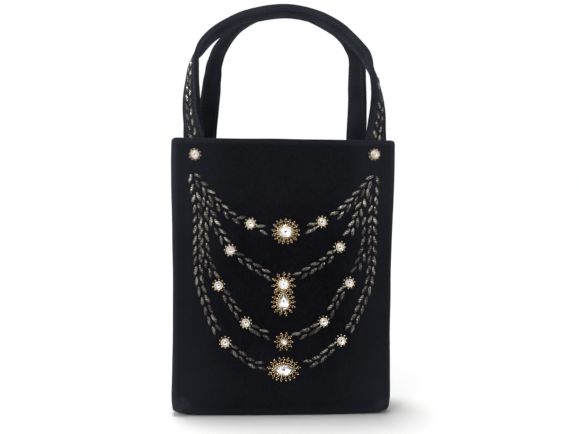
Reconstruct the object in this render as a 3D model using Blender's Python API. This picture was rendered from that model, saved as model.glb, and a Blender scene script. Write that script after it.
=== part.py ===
"""A small velvet evening tote that stands on its flat base.

The bag is one stiffened velvet shell, open at the mouth, with soft folds in its two gussets.
Two padded straps rise from inside the mouth and lean together at the top. The front panel
carries five cut stones on the centre line and twelve small round ones, each in its own gold cup.
The front faces -Y, X runs to the viewer's right and the bag stands on Z = 0.
"""
import math
from bisect import bisect_right
from collections import namedtuple

import bmesh
import bpy
from mathutils import Matrix, Vector

MM = 0.001

# The bag's own sizes
BAG_WIDTH = 176.0 * MM
BAG_HEIGHT = 221.5 * MM
BAG_DEPTH = 50.0 * MM
WALL = 2.0 * MM
PLAN_CORNER = 6.0 * MM
BASE_RISE = 5.0 * MM
BASE_SWEEP = 30.0 * MM
BASE_EDGE = 4.0 * MM
RIM_ROUND = 3.0 * MM
BELLY = 3.5 * MM
GUSSET_FOLD = 6.0 * MM
GUSSET_DIP = 5.0 * MM

# The straps
STRAP_WIDTH = 16.4 * MM
STRAP_THICK = 4.6 * MM
STRAP_EDGE = 1.7 * MM
STRAP_CROWN = 0.35 * MM
FRONT_FOOT_INSET = 0.8 * MM
FRONT_RISE = 103.4 * MM
BACK_FOOT_INSET = 10.6 * MM
BACK_RISE = 106.4 * MM
STRAP_TOP_GAP = 1.6 * MM
STRAP_TUCK = 26.0 * MM

# The stones, width by height as they lie on the panel, and their cups
ROSETTE_STONE = (5.0 * MM, 5.0 * MM)
OVAL_STONE = (10.4 * MM, 8.0 * MM)
ROUND_STONE = (7.2 * MM, 7.2 * MM)
PEAR_STONE = (7.4 * MM, 12.8 * MM)
FLOWER_STONE = (3.6 * MM, 3.6 * MM)
MARQUISE_STONE = (15.5 * MM, 7.6 * MM)
CUP_WALL = 0.55 * MM
CUP_FLOOR = 0.5 * MM
CUP_LIP = 0.35 * MM
PEAR_HANG = 1.4 * MM

# Clearances between neighbours
SEAT_GAP = 0.3 * MM
STONE_GAP = 0.3 * MM
STRAP_GAP = 0.3 * MM

# Where the straps stand in the mouth, and how far apart their middles are at the top
STRAP_REACH = BAG_WIDTH / 2 - PLAN_CORNER - STRAP_WIDTH / 2
FRONT_HALF_SPAN = STRAP_REACH - FRONT_FOOT_INSET
BACK_HALF_SPAN = STRAP_REACH - BACK_FOOT_INSET
STRAP_TOP_APART = STRAP_WIDTH + STRAP_TOP_GAP

# How finely the smooth forms are faceted
FRONT_STEPS = 6
CORNER_STEPS = 3
GUSSET_STEPS = 4
BASE_STEPS = 4
BODY_STEPS = 14
STRAP_STEPS = 54

# The body from the top of its swept base (up 0) to the rim (up 1). Width is a share of
# BAG_WIDTH, depth of BAG_DEPTH, belly of BELLY, fold of GUSSET_FOLD and dip of the rim's own
# fall at the gussets.
Section = namedtuple("Section", "up width depth belly fold dip")
BODY = [
    Section(0.00, 1.006, 1.00, 0.50, 0.00, 0.00),
    Section(0.14, 1.002, 1.00, 0.80, 0.04, 0.00),
    Section(0.30, 1.000, 1.00, 1.00, 0.12, 0.00),
    Section(0.48, 1.000, 0.99, 1.00, 0.28, 0.00),
    Section(0.65, 1.005, 0.965, 0.82, 0.50, 0.02),
    Section(0.80, 1.013, 0.935, 0.55, 0.74, 0.15),
    Section(0.91, 1.018, 0.905, 0.28, 0.92, 0.50),
    Section(1.00, 1.016, 0.88, 0.10, 1.00, 1.00),
]

# The straps from the left end of the mouth over the top to the right end. Across is a share
# of the half span, rise of the strap's rise, lean of its way from the wall to the middle of
# the bag. Turn is the outer face's turn in degrees: 0 faces straight out of the bag, 90 faces
# away from the loop.
Station = namedtuple("Station", "across rise lean turn")
FRONT_STRAP = [
    Station(-0.980, 0.000, 0.00, 0),
    Station(-0.984, 0.050, 0.00, 18),
    Station(-0.993, 0.114, 0.01, 34),
    Station(-1.007, 0.205, 0.03, 42),
    Station(-1.011, 0.297, 0.08, 46),
    Station(-1.009, 0.389, 0.15, 54),
    Station(-1.003, 0.460, 0.21, 62),
    Station(-0.996, 0.527, 0.27, 67),
    Station(-0.984, 0.595, 0.34, 75),
    Station(-0.960, 0.640, 0.40, 88),
    Station(-0.924, 0.683, 0.46, 98),
    Station(-0.870, 0.740, 0.54, 103),
    Station(-0.771, 0.811, 0.66, 105),
    Station(-0.625, 0.878, 0.76, 106),
    Station(-0.410, 0.949, 0.88, 106),
    Station(0.000, 1.000, 1.00, 106),
    Station(0.335, 0.961, 0.90, 105),
    Station(0.575, 0.879, 0.76, 104),
    Station(0.719, 0.794, 0.63, 103),
    Station(0.832, 0.715, 0.50, 102),
    Station(0.895, 0.660, 0.42, 99),
    Station(0.925, 0.610, 0.36, 92),
    Station(0.951, 0.555, 0.30, 82),
    Station(0.985, 0.495, 0.24, 72),
    Station(1.008, 0.415, 0.16, 66),
    Station(1.022, 0.345, 0.11, 58),
    Station(1.027, 0.262, 0.05, 48),
    Station(1.024, 0.183, 0.02, 38),
    Station(1.018, 0.114, 0.01, 30),
    Station(1.014, 0.050, 0.00, 16),
    Station(1.012, 0.000, 0.00, 0),
]
BACK_STRAP = [
    Station(-1.002, 0.000, 0.00, 0),
    Station(-1.001, 0.038, 0.00, 10),
    Station(-0.992, 0.110, 0.01, 22),
    Station(-0.978, 0.200, 0.03, 28),
    Station(-0.960, 0.300, 0.07, 31),
    Station(-0.940, 0.395, 0.13, 34),
    Station(-0.931, 0.460, 0.19, 41),
    Station(-0.916, 0.515, 0.25, 46),
    Station(-0.905, 0.580, 0.31, 54),
    Station(-0.868, 0.648, 0.39, 61),
    Station(-0.838, 0.697, 0.46, 64),
    Station(-0.775, 0.755, 0.55, 70),
    Station(-0.691, 0.820, 0.65, 76),
    Station(-0.560, 0.893, 0.77, 81),
    Station(-0.330, 0.965, 0.90, 86),
    Station(0.000, 1.000, 1.00, 90),
    Station(0.300, 0.975, 0.93, 88),
    Station(0.560, 0.915, 0.80, 84),
    Station(0.735, 0.862, 0.70, 79),
    Station(0.850, 0.802, 0.60, 74),
    Station(0.925, 0.740, 0.50, 68),
    Station(0.977, 0.682, 0.43, 62),
    Station(0.992, 0.620, 0.35, 56),
    Station(0.995, 0.540, 0.26, 50),
    Station(1.000, 0.435, 0.16, 44),
    Station(1.008, 0.342, 0.10, 40),
    Station(1.009, 0.200, 0.03, 34),
    Station(1.005, 0.104, 0.01, 24),
    Station(1.000, 0.038, 0.00, 10),
    Station(1.000, 0.000, 0.00, 0),
]

StrapPoint = namedtuple("StrapPoint", "x y z turn")

# Where the stones sit: across is a share of half the width, up of the height. Hang is a
# length below that, for the pear that hangs under the round stone.
Place = namedtuple("Place", "across up hang", defaults=[0.0])
PEAR_DROP = (ROUND_STONE[1] + PEAR_STONE[1]) / 2 + 2 * (STONE_GAP + CUP_WALL) + PEAR_HANG
ROSETTES = [
    Place(-0.802, 0.944), Place(0.820, 0.952),
    Place(-0.301, 0.700), Place(0.342, 0.708),
    Place(-0.478, 0.605), Place(0.508, 0.618),
    Place(-0.581, 0.479), Place(0.598, 0.489),
    Place(-0.336, 0.346), Place(0.368, 0.349),
    Place(-0.519, 0.274), Place(0.532, 0.279),
]
CentreStone = namedtuple("CentreStone", "name outline size place corners")
CENTRE_STONES = [
    CentreStone("oval", "ellipse", OVAL_STONE, Place(0.015, 0.673), 16),
    CentreStone("round", "ellipse", ROUND_STONE, Place(0.000, 0.485), 16),
    CentreStone("pear", "pear", PEAR_STONE, Place(0.002, 0.485, PEAR_DROP), 16),
    CentreStone("flower", "ellipse", FLOWER_STONE, Place(0.010, 0.277), 10),
    CentreStone("marquise", "marquise", MARQUISE_STONE, Place(0.010, 0.175), 16),
]
ROSETTE_CORNERS = 10

# The cut of a stone from its culet up to its table. Spread is a share of the girdle's outline
# and rise a share of the stone's narrow side, from the girdle. Turned tiers have their corners
# halfway between those of the girdle.
Tier = namedtuple("Tier", "spread rise turned")
CUT = [
    Tier(0.50, -0.09, True),
    Tier(1.00, 0.000, False),
    Tier(1.00, 0.030, False),
    Tier(0.86, 0.110, True),
    Tier(0.60, 0.180, False),
]
CULET_DEPTH = 0.14

VELVET = dict(colour=(0.006, 0.006, 0.008), roughness=0.9, metallic=0.0)
GOLD = dict(colour=(0.60, 0.38, 0.16), roughness=0.35, metallic=1.0)
CRYSTAL = dict(colour=(0.86, 0.88, 0.90), roughness=0.05, metallic=0.0)


def clear_scene():
    """Remove whatever the scene holds."""
    for thing in list(bpy.data.objects):
        bpy.data.objects.remove(thing, do_unlink=True)


def make_material(name, colour, roughness, metallic):
    """One plain surface, with its colour, roughness and metallic value."""
    material = bpy.data.materials.new(name)
    material.use_nodes = True
    shader = material.node_tree.nodes["Principled BSDF"]
    shader.inputs["Base Color"].default_value = (*colour, 1.0)
    shader.inputs["Roughness"].default_value = roughness
    shader.inputs["Metallic"].default_value = metallic
    return material


def read_smoothly(rows, marks, mark):
    """The table's row at a mark, read from a smooth curve through all its rows."""
    start = min(max(bisect_right(marks, mark) - 1, 0), len(rows) - 2)
    span = marks[start + 1] - marks[start]
    t = (mark - marks[start]) / span

    def slopes(index):
        low = max(index - 1, 0)
        high = min(index + 1, len(rows) - 1)
        return [(b - a) / (marks[high] - marks[low]) for a, b in zip(rows[low], rows[high])]

    from_weight = 2 * t**3 - 3 * t**2 + 1
    leave_weight = (t**3 - 2 * t**2 + t) * span
    arrive_weight = (t**3 - t**2) * span
    columns = zip(rows[start], rows[start + 1], slopes(start), slopes(start + 1))
    return type(rows[0])(*[
        a * from_weight + b * (1 - from_weight) + leave * leave_weight + arrive * arrive_weight
        for a, b, leave, arrive in columns
    ])


def body_section(z):
    """The body's shares at a height."""
    up = (z - BASE_RISE) / (BAG_HEIGHT - BASE_RISE)
    return read_smoothly(BODY, [row.up for row in BODY], min(max(up, 0.0), 1.0))


def crown(x, half_flat):
    """How far a panel bows out at x: full in the middle, none where its corner starts."""
    return max(0.0, 1.0 - (x / half_flat) ** 2)


def crease(y, half_flat):
    """How far a gusset folds in at y: full in the middle, none where its corner starts."""
    return 0.5 * (1.0 + math.cos(math.pi * min(1.0, abs(y) / half_flat)))


def front_y(x, z):
    """The front panel's outer face."""
    section = body_section(z)
    bow = BELLY * section.belly * crown(x, BAG_WIDTH / 2 * section.width - PLAN_CORNER)
    return -BAG_DEPTH / 2 * section.depth - bow


def front_normal(x, z):
    """The way the front panel faces at a point."""
    step = 1.0 * MM
    slope_x = (front_y(x + step, z) - front_y(x - step, z)) / (2 * step)
    slope_z = (front_y(x, z + step) - front_y(x, z - step)) / (2 * step)
    return Vector((slope_x, -1.0, slope_z)).normalized()


def plan_quarter(half_width, half_depth, corner, belly, fold):
    """A quarter of the bag's plan, from mid front to mid gusset, each with its crease share."""
    flat_x = half_width - corner
    flat_y = half_depth - corner
    points = []
    for i in range(FRONT_STEPS + 1):
        x = flat_x * i / FRONT_STEPS
        points.append((x, -half_depth - belly * crown(x, flat_x), x, 0.0))
    for i in range(1, CORNER_STEPS + 1):
        turn = math.pi / 2 * i / CORNER_STEPS
        x = flat_x + corner * math.sin(turn)
        points.append((x, -flat_y - corner * math.cos(turn), x, 0.0))
    for i in range(1, GUSSET_STEPS + 1):
        y = -flat_y * (1 - i / GUSSET_STEPS)
        folded = crease(y, flat_y)
        points.append((half_width - fold * folded, y, half_width, folded))
    return points


def body_ring(z, inset_x, inset_y, corner):
    """One closed ring of the bag's shell, drawn in from the outer face by the insets."""
    section = body_section(z)
    full_half = BAG_WIDTH / 2 * section.width
    quarter = plan_quarter(
        full_half - inset_x,
        BAG_DEPTH / 2 * section.depth - inset_y,
        corner,
        BELLY * section.belly,
        GUSSET_FOLD * section.fold,
    )
    points = []
    for x, y, flat_x, folded in quarter:
        past_round = min(RIM_ROUND, max(0.0, flat_x + inset_x - (full_half - RIM_ROUND)))
        fall = RIM_ROUND - math.sqrt(RIM_ROUND**2 - past_round**2) + GUSSET_DIP * folded
        points.append(Vector((x, y, z - section.dip * fall)))
    across = [Vector((p.x, -p.y, p.z)) for p in reversed(points[:-1])]
    right_half = points + across
    left_half = [Vector((-p.x, p.y, p.z)) for p in reversed(right_half[1:-1])]
    return right_half + left_half


def loft(bm, rings):
    """Skin a run of rings of equal length, and cap both ends."""
    loops = [[bm.verts.new(point) for point in ring] for ring in rings]
    for lower, upper in zip(loops, loops[1:]):
        count = len(lower)
        for i in range(count):
            j = (i + 1) % count
            bm.faces.new((lower[i], lower[j], upper[j], upper[i]))
    bm.faces.new(list(reversed(loops[0])))
    bm.faces.new(loops[-1])


def add_object(name, bm, material, parent):
    """Turn a finished mesh into a named, smoothly shaded object."""
    bmesh.ops.recalc_face_normals(bm, faces=bm.faces)
    mesh = bpy.data.meshes.new(name)
    bm.to_mesh(mesh)
    bm.free()
    mesh.shade_smooth()
    mesh.set_sharp_from_angle(angle=math.radians(35))
    mesh.materials.append(material)
    thing = bpy.data.objects.new(name, mesh)
    bpy.context.collection.objects.link(thing)
    thing.parent = parent
    return thing


def base_rings(wall):
    """The rings that turn from the flat base into the upright walls, drawn in by the wall."""
    rings = []
    for i in range(BASE_STEPS):
        turn = math.pi / 2 * i / BASE_STEPS
        draw_in = 1 - math.sin(turn)
        rings.append(body_ring(
            wall + BASE_RISE * (1 - math.cos(turn)),
            wall + BASE_SWEEP * draw_in,
            wall + BASE_EDGE * draw_in,
            PLAN_CORNER - wall,
        ))
    return rings


def wall_rings(wall):
    """The rings of the upright walls, from the base up to just under the rim's crest."""
    foot = BASE_RISE + wall
    climb = BAG_HEIGHT - WALL / 2 - foot
    return [body_ring(foot + climb * i / BODY_STEPS, wall, wall, PLAN_CORNER - wall)
            for i in range(BODY_STEPS + 1)]


def build_body(material, parent):
    """The velvet shell: outer skin, rounded rim, inner skin and floor, all one closed body."""
    outer = base_rings(0.0) + wall_rings(0.0)
    crest = body_ring(BAG_HEIGHT, WALL / 2, WALL / 2, PLAN_CORNER - WALL / 2)
    inner = base_rings(WALL) + wall_rings(WALL)
    bm = bmesh.new()
    loft(bm, outer + [crest] + inner[::-1])
    return add_object("bag_body", bm, material, parent)


def strap_section():
    """The padded strap cut across: points (along its width, out of its outer face)."""
    edge = min(STRAP_EDGE, 0.42 * STRAP_THICK)
    half_width = STRAP_WIDTH / 2 - edge
    half_thick = STRAP_THICK / 2 - edge
    points = []
    for corner in range(4):
        sign_w = (1, -1, -1, 1)[corner]
        sign_t = (1, 1, -1, -1)[corner]
        for i in range(3):
            turn = math.pi / 2 * (corner + i / 2)
            points.append((sign_w * half_width + edge * math.cos(turn),
                           sign_t * half_thick + edge * math.sin(turn)))
        if corner % 2 == 0:
            points.append((0.0, sign_t * (STRAP_THICK / 2 + STRAP_CROWN)))
    return points


def strap_stations(table, half_span, rise, side):
    """The strap's centre line as places and turns; side is -1 for the front, 1 for the back."""
    rim_wall = BAG_DEPTH / 2 * BODY[-1].depth + BELLY * BODY[-1].belly - WALL
    wall_y = side * (rim_wall - STRAP_GAP - STRAP_THICK / 2 - STRAP_CROWN)
    top_y = side * STRAP_TOP_APART / 2
    tucks = [STRAP_TUCK, STRAP_TUCK / 2]

    def foot(station, tuck):
        return StrapPoint(station.across * half_span, wall_y, BAG_HEIGHT - tuck, 0.0)

    rows = [foot(table[0], tuck) for tuck in tucks]
    for station in table:
        y = wall_y + station.lean * (top_y - wall_y)
        rows.append(StrapPoint(station.across * half_span, y,
                               BAG_HEIGHT + station.rise * rise, math.radians(station.turn)))
    return rows + [foot(table[-1], tuck) for tuck in reversed(tucks)]


def build_strap(name, table, half_span, rise, side, material, parent):
    """One padded strap, lofted along its twisting centre line."""
    rows = strap_stations(table, half_span, rise, side)
    marks = [0.0]
    for a, b in zip(rows, rows[1:]):
        marks.append(marks[-1] + math.dist(a[:3], b[:3]))
    small = marks[-1] / (20 * STRAP_STEPS)
    section = strap_section()
    rings = []
    for i in range(STRAP_STEPS + 1):
        mark = marks[-1] * i / STRAP_STEPS
        here = read_smoothly(rows, marks, mark)
        before = read_smoothly(rows, marks, max(mark - small, 0.0))
        after = read_smoothly(rows, marks, min(mark + small, marks[-1]))
        along = (Vector(after[:3]) - Vector(before[:3])).normalized()
        away = Vector((-along.z, 0.0, along.x)).normalized()
        outward = -side * along.cross(away)
        face = (math.cos(here.turn) * outward + math.sin(here.turn) * away).normalized()
        width = along.cross(face).normalized()
        centre = Vector(here[:3])
        rings.append([centre + width * w + face * t for w, t in section])
    bm = bmesh.new()
    loft(bm, rings)
    return add_object(name, bm, material, parent)


def girdle_outline(kind, size, corners, turned):
    """The widest outline of a stone, from its top point round; turned starts half a step on."""
    half_w, half_h = size[0] / 2, size[1] / 2
    points = []
    for i in range(corners):
        t = 2 * math.pi * (i + (0.5 if turned else 0.0)) / corners
        if kind == "pear":
            widest = 4 / (3 * math.sqrt(3))
            x = half_w * math.sin(t) * math.sin(t / 2) / widest
            points.append((x, half_h * math.cos(t)))
        elif kind == "marquise":
            radius = (half_w**2 + half_h**2) / (2 * half_h)
            x = half_w * math.sin(t)
            y = math.sqrt(radius**2 - x**2) - (radius - half_h)
            points.append((x, math.copysign(y, math.cos(t))))
        else:
            points.append((half_w * math.sin(t), half_h * math.cos(t)))
    return points


def grown(points, by):
    """A closed outline moved outwards by a distance."""
    count = len(points)
    result = []
    for i, (x, y) in enumerate(points):
        x0, y0 = points[i - 1]
        x1, y1 = points[(i + 1) % count]
        nx, ny = y0 - y1, x1 - x0
        length = math.hypot(nx, ny)
        result.append((x + by * nx / length, y + by * ny / length))
    return result


def seat_frame(place):
    """The frame of a stone's seat: X to the right, Y up the panel, Z out of the velvet."""
    x = place.across * BAG_WIDTH / 2
    z = place.up * BAG_HEIGHT - place.hang
    outward = front_normal(x, z)
    right = Vector((0.0, 0.0, 1.0)).cross(outward).normalized()
    up = outward.cross(right)
    frame = Matrix((right, up, outward)).transposed().to_4x4()
    frame.translation = Vector((x, front_y(x, z), z)) + SEAT_GAP * outward
    return frame


def girdle_height(size):
    """How high the stone's girdle lies over the cup's underside."""
    return CUP_FLOOR + STONE_GAP + CULET_DEPTH * min(size)


def build_cup(name, kind, size, corners, place, material, parent):
    """The gold cup that holds a stone: a floor and a thin wall with a rounded lip."""
    girdle = girdle_outline(kind, size, corners, False)
    top = girdle_height(size) + CUP_LIP
    bore = grown(girdle, STONE_GAP)
    lip = grown(girdle, STONE_GAP + CUP_WALL / 2)
    outside = grown(girdle, STONE_GAP + CUP_WALL)
    profile = [(outside, 0.0), (outside, top - CUP_WALL / 2), (lip, top),
               (bore, top - CUP_WALL / 2), (bore, CUP_FLOOR)]
    frame = seat_frame(place)
    bm = bmesh.new()
    loft(bm, [[frame @ Vector((x, y, z)) for x, y in ring] for ring, z in profile])
    return add_object(name, bm, material, parent)


def build_stone(name, kind, size, corners, place, material, parent):
    """A cut stone with culet, pavilion, girdle, crown facets and table."""
    middle = girdle_height(size)
    narrow = min(size)
    frame = seat_frame(place)
    bm = bmesh.new()
    culet = bm.verts.new(frame @ Vector((0.0, 0.0, middle - CULET_DEPTH * narrow)))
    tiers = []
    for tier in CUT:
        outline = girdle_outline(kind, size, corners, tier.turned)
        height = middle + tier.rise * narrow
        tiers.append([bm.verts.new(frame @ Vector((tier.spread * x, tier.spread * y, height)))
                      for x, y in outline])
    first = tiers[0]
    for i in range(corners):
        bm.faces.new((culet, first[i], first[(i + 1) % corners]))
    for (low, low_tier), (high, high_tier) in zip(zip(CUT, tiers), zip(CUT[1:], tiers[1:])):
        for i in range(corners):
            j = (i + 1) % corners
            if low.turned == high.turned:
                bm.faces.new((low_tier[i], low_tier[j], high_tier[j], high_tier[i]))
            elif low.turned:
                bm.faces.new((low_tier[i], high_tier[j], high_tier[i]))
                bm.faces.new((low_tier[i], low_tier[j], high_tier[j]))
            else:
                bm.faces.new((low_tier[i], low_tier[j], high_tier[i]))
                bm.faces.new((low_tier[j], high_tier[j], high_tier[i]))
    bm.faces.new(tiers[-1])
    stone = add_object(name, bm, material, parent)
    stone.data.shade_flat()
    return stone


def centre_on_base(parent):
    """Move the whole bag so that its box is centred over the origin."""
    bpy.context.view_layer.update()
    corners = [thing.matrix_world @ Vector(corner)
               for thing in parent.children for corner in thing.bound_box]
    for axis in (0, 1):
        low = min(corner[axis] for corner in corners)
        high = max(corner[axis] for corner in corners)
        parent.location[axis] -= (low + high) / 2
    bpy.context.view_layer.update()


def build_bag():
    """All the pieces, held by one empty."""
    clear_scene()
    velvet = make_material("black velvet", **VELVET)
    gold = make_material("gold-plated brass", **GOLD)
    crystal = make_material("cut glass", **CRYSTAL)
    bag = bpy.data.objects.new("bag", None)
    bpy.context.collection.objects.link(bag)
    build_body(velvet, bag)
    build_strap("handle_front", FRONT_STRAP, FRONT_HALF_SPAN, FRONT_RISE, -1, velvet, bag)
    build_strap("handle_back", BACK_STRAP, BACK_HALF_SPAN, BACK_RISE, 1, velvet, bag)
    stones = [CentreStone(f"rosette_{number:02d}", "ellipse", ROSETTE_STONE, place,
                          ROSETTE_CORNERS) for number, place in enumerate(ROSETTES, 1)]
    for stone in CENTRE_STONES + stones:
        shape = (stone.outline, stone.size, stone.corners, stone.place)
        build_cup(f"{stone.name}_setting", *shape, gold, bag)
        build_stone(f"{stone.name}_crystal", *shape, crystal, bag)
    centre_on_base(bag)


build_bag()
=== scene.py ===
# %% [markdown]
# # A velvet evening tote, dressed
#
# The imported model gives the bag's solids: a velvet shell, two straps, and seventeen cut stones in
# gold cups. This lesson dresses them. Each step says what a piece is on the real bag, how it could
# be made, and why it is made the way it is. Lengths are in metres, so a millimetre gets a name.

# %% The frame and the tools
import math
import random

import bmesh
import bpy
import numpy as np
from mathutils import Matrix, Vector, geometry, noise
from mathutils.bvhtree import BVHTree


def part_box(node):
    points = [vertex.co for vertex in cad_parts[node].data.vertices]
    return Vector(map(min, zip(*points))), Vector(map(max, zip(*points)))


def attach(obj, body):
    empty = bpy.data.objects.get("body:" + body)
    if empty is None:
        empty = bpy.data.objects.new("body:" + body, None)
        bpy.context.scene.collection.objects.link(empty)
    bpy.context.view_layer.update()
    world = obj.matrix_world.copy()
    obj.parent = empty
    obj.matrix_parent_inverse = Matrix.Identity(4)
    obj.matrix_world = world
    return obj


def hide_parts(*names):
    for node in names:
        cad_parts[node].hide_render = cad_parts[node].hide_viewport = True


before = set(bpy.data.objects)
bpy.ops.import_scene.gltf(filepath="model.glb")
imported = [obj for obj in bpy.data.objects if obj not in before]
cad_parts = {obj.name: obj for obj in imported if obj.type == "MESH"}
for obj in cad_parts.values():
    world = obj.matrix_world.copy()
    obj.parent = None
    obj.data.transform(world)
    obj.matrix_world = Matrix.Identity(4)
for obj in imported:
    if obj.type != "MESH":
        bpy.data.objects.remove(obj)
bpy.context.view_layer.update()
MM = 0.001
RANDOM = random.Random(11)
print("solids in the frame:", len(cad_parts))

# %% [markdown]
# ## Hands and eyes
#
# An operator acts on everything that is selected, and the loaded solids arrive selected. So one
# small function clears the selection and picks a single object, and the functions that edit an
# object or add a primitive begin in the same way.
# Colours are given as hex values and turned to linear light by one function. A material
# is a handful of nodes, and one function adds a node with its settings and links.

# %% Picking and adding objects
SMOOTH_UNDER = math.radians(50)


def pick(thing):
    """Leave edit mode, deselect everything, and select this one object."""
    active = bpy.context.view_layer.objects.active
    if active and active.mode != "OBJECT":
        bpy.ops.object.mode_set(mode="OBJECT")
    bpy.ops.object.select_all(action="DESELECT")
    thing.select_set(True)
    bpy.context.view_layer.objects.active = thing
    return thing


def edit(thing):
    """Go into edit mode on one object, with all of it selected."""
    pick(thing)
    bpy.ops.object.mode_set(mode="EDIT")
    bpy.ops.mesh.select_all(action="SELECT")


def add_object(name, data):
    """Put a mesh, a camera or a lamp into the scene as an object of its own."""
    thing = bpy.data.objects.new(name, data)
    bpy.context.collection.objects.link(thing)
    return thing


def add_primitive(name, operator, **settings):
    """Deselect everything, add one of Blender's primitives and name it."""
    bpy.ops.object.select_all(action="DESELECT")
    operator(**settings)
    thing = bpy.context.object
    thing.name = thing.data.name = name
    return thing


def dress(thing, material, smooth=True):
    """Give a finished piece its material and the body that it rides on."""
    thing.data.materials.clear()
    thing.data.materials.append(material)
    pick(thing)
    if smooth:
        bpy.ops.object.shade_smooth_by_angle(angle=SMOOTH_UNDER)
    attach(thing, "root")
    print(f"{thing.name}: {len(thing.data.polygons)} faces")
    return thing


print("edges sharper than", round(math.degrees(SMOOTH_UNDER)), "degrees stay sharp")


# %% Colours, nodes and materials
# Settings that many nodes share, and the sockets of a Mix node that mixes colours. A Math
# node's sockets are numbered too: 0, 1 and 2 are the values that it works on.
COLOURS, EASED = {"data_type": "RGBA"}, {"interpolation_type": "SMOOTHSTEP"}
MULTIPLY, MULTIPLY_ADD = {"operation": "MULTIPLY"}, {"operation": "MULTIPLY_ADD"}
SHARE, FIRST, SECOND, MIXED = 0, 6, 7, 2


def srgb(code):
    """A hex colour as linear red, green, blue and alpha."""
    channels = [int(code[i:i + 2], 16) / 255 for i in (0, 2, 4)]
    linear = [c / 12.92 if c <= 0.04045 else ((c + 0.055) / 1.055) ** 2.4 for c in channels]
    return (*linear, 1.0)


def add_node(tree, kind, settings=None, values=None, links=None):
    """Add one node, set its properties and sockets, and link other nodes' outputs into it."""
    made = tree.nodes.new(kind)
    for name, value in (settings or {}).items():
        setattr(made, name, value)
    for socket, value in (values or {}).items():
        made.inputs[socket].default_value = value
    for socket, output in (links or {}).items():
        tree.links.new(output, made.inputs[socket])
    return made


def start_material(name, values):
    """A new material, and its node tree and shader with their constant values set."""
    material = bpy.data.materials.new(name)
    material.use_nodes = True
    shader = material.node_tree.nodes["Principled BSDF"]
    for socket, value in values.items():
        shader.inputs[socket].default_value = value
    return material, material.node_tree, shader


def per_mm(size):
    """The scale of a noise whose blobs are about this many millimetres across."""
    return 1 / (size * MM)


print("half grey in linear light:", round(srgb("808080")[0], 3))

# %% [markdown]
# ## The camera
#
# The photograph looks at the front from a little to the left and just above the middle, with a
# lens that takes the bag in from about 60 cm. The bag fills the frame almost to its top and
# bottom, so the camera's place and its three small turns were found by laying the outline of the
# solids over the photograph. A camera is placed first, because everything else is judged by it.

# %% Placing the camera
FRONT_PLANE = -23.3 * MM
CAMERA_PLACE = (-36.5 * MM, FRONT_PLANE - 600 * MM, 195.3 * MM)
CAMERA_YAW, CAMERA_PITCH, CAMERA_ROLL = -3.90, -3.31, -0.64
LENS_MM = 47.16

lens = bpy.data.cameras.new("camera")
lens.lens = LENS_MM
lens.sensor_width = 36
camera = add_object("camera", lens)
turns = [(CAMERA_YAW, "Z"), (CAMERA_PITCH, "X"), (CAMERA_ROLL, "Y"), (90, "X")]
pose = Matrix.Translation(CAMERA_PLACE)
for degrees, axis in turns:
    pose = pose @ Matrix.Rotation(math.radians(degrees), 4, axis)
camera.matrix_world = pose
bpy.context.scene.camera = camera
print("camera at", [round(c, 3) for c in CAMERA_PLACE])

# %% [markdown]
# ## Black cotton velvet
#
# Velvet is a cloth with a short upright pile. Seen straight on, the light falls between the hairs
# and is lost, so it looks deep black. Seen along the surface, the tips of the hairs catch the
# light, and every rounded edge shows a soft grey-blue line. Sheen gives that. The pile is combed
# one way and crushed in patches, so the colour drifts a little over a few centimetres, and a fine
# grain breaks up the surface. Real pile is a quarter of a millimetre across, too fine to show, so
# its grain is drawn near a millimetre. Places that hands and shelves rub are paler, and a painted
# sheen and painted light make the edges, the rim and parts of the panel paler too: the pieces
# carry both as one attribute, which mixes a paler grey-blue into the colour.

# %% The velvet
def velvet_material():
    """Black cotton velvet, deep in front and soft grey-blue along its edges, from its sheen and a
    painted sheen.
    """
    material, tree, shader = start_material("black_cotton_velvet", {
        "Roughness": 0.92,
        "Specular IOR Level": 0.06,
        "Sheen Weight": 0.22,
        "Sheen Roughness": 0.28,
        "Sheen Tint": srgb("ACB8E2"),
    })
    place = add_node(tree, "ShaderNodeTexCoord").outputs["Object"]
    crush = add_node(tree, "ShaderNodeTexNoise", values={
        "Scale": per_mm(26), "Detail": 3.0, "Roughness": 0.55, "Distortion": 0.5,
    }, links={"Vector": place})
    combed = add_node(tree, "ShaderNodeMapping", values={"Scale": (1.0, 1.0, 0.55)},
                      links={"Vector": place})
    nap = add_node(tree, "ShaderNodeTexNoise", values={
        "Scale": per_mm(1.5), "Detail": 3.0, "Roughness": 0.6,
    }, links={"Vector": combed.outputs[0]})
    pile = add_node(tree, "ShaderNodeTexNoise", values={
        "Scale": per_mm(0.8), "Detail": 2.0, "Roughness": 0.7,
    }, links={"Vector": place})
    both = add_node(tree, "ShaderNodeMath", MULTIPLY_ADD, {1: 0.6},
                    {0: crush.outputs["Fac"], 2: nap.outputs["Fac"]})
    drift = add_node(tree, "ShaderNodeMapRange", values={"From Min": 0.58, "From Max": 1.02},
                     links={"Value": both.outputs[0]})
    deep = add_node(tree, "ShaderNodeMix", COLOURS,
                    {FIRST: srgb("030304"), SECOND: srgb("0E0F14")}, {SHARE: drift.outputs[0]})
    # Painted sheen and painted light, with rubbed pile: the attribute mixes a paler grey-blue into
    # the colour.
    wear_and_sheen = add_node(tree, "ShaderNodeAttribute", {"attribute_name": "wear_and_sheen"})
    rubbed_and_sheen = add_node(tree, "ShaderNodeMix", COLOURS, {SECOND: srgb("2D2F37")},
                      {SHARE: wear_and_sheen.outputs["Fac"], FIRST: deep.outputs[MIXED]})
    tree.links.new(rubbed_and_sheen.outputs[MIXED], shader.inputs["Base Color"])
    grain = add_node(tree, "ShaderNodeMath", MULTIPLY_ADD, {1: 0.5},
                     {0: nap.outputs["Fac"], 2: pile.outputs["Fac"]})
    bump = add_node(tree, "ShaderNodeBump", values={"Strength": 0.7, "Distance": 0.4 * MM},
                    links={"Height": grain.outputs[0]})
    tree.links.new(bump.outputs[0], shader.inputs["Normal"])
    return material


VELVET = velvet_material()
print("made", VELVET.name)

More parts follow.
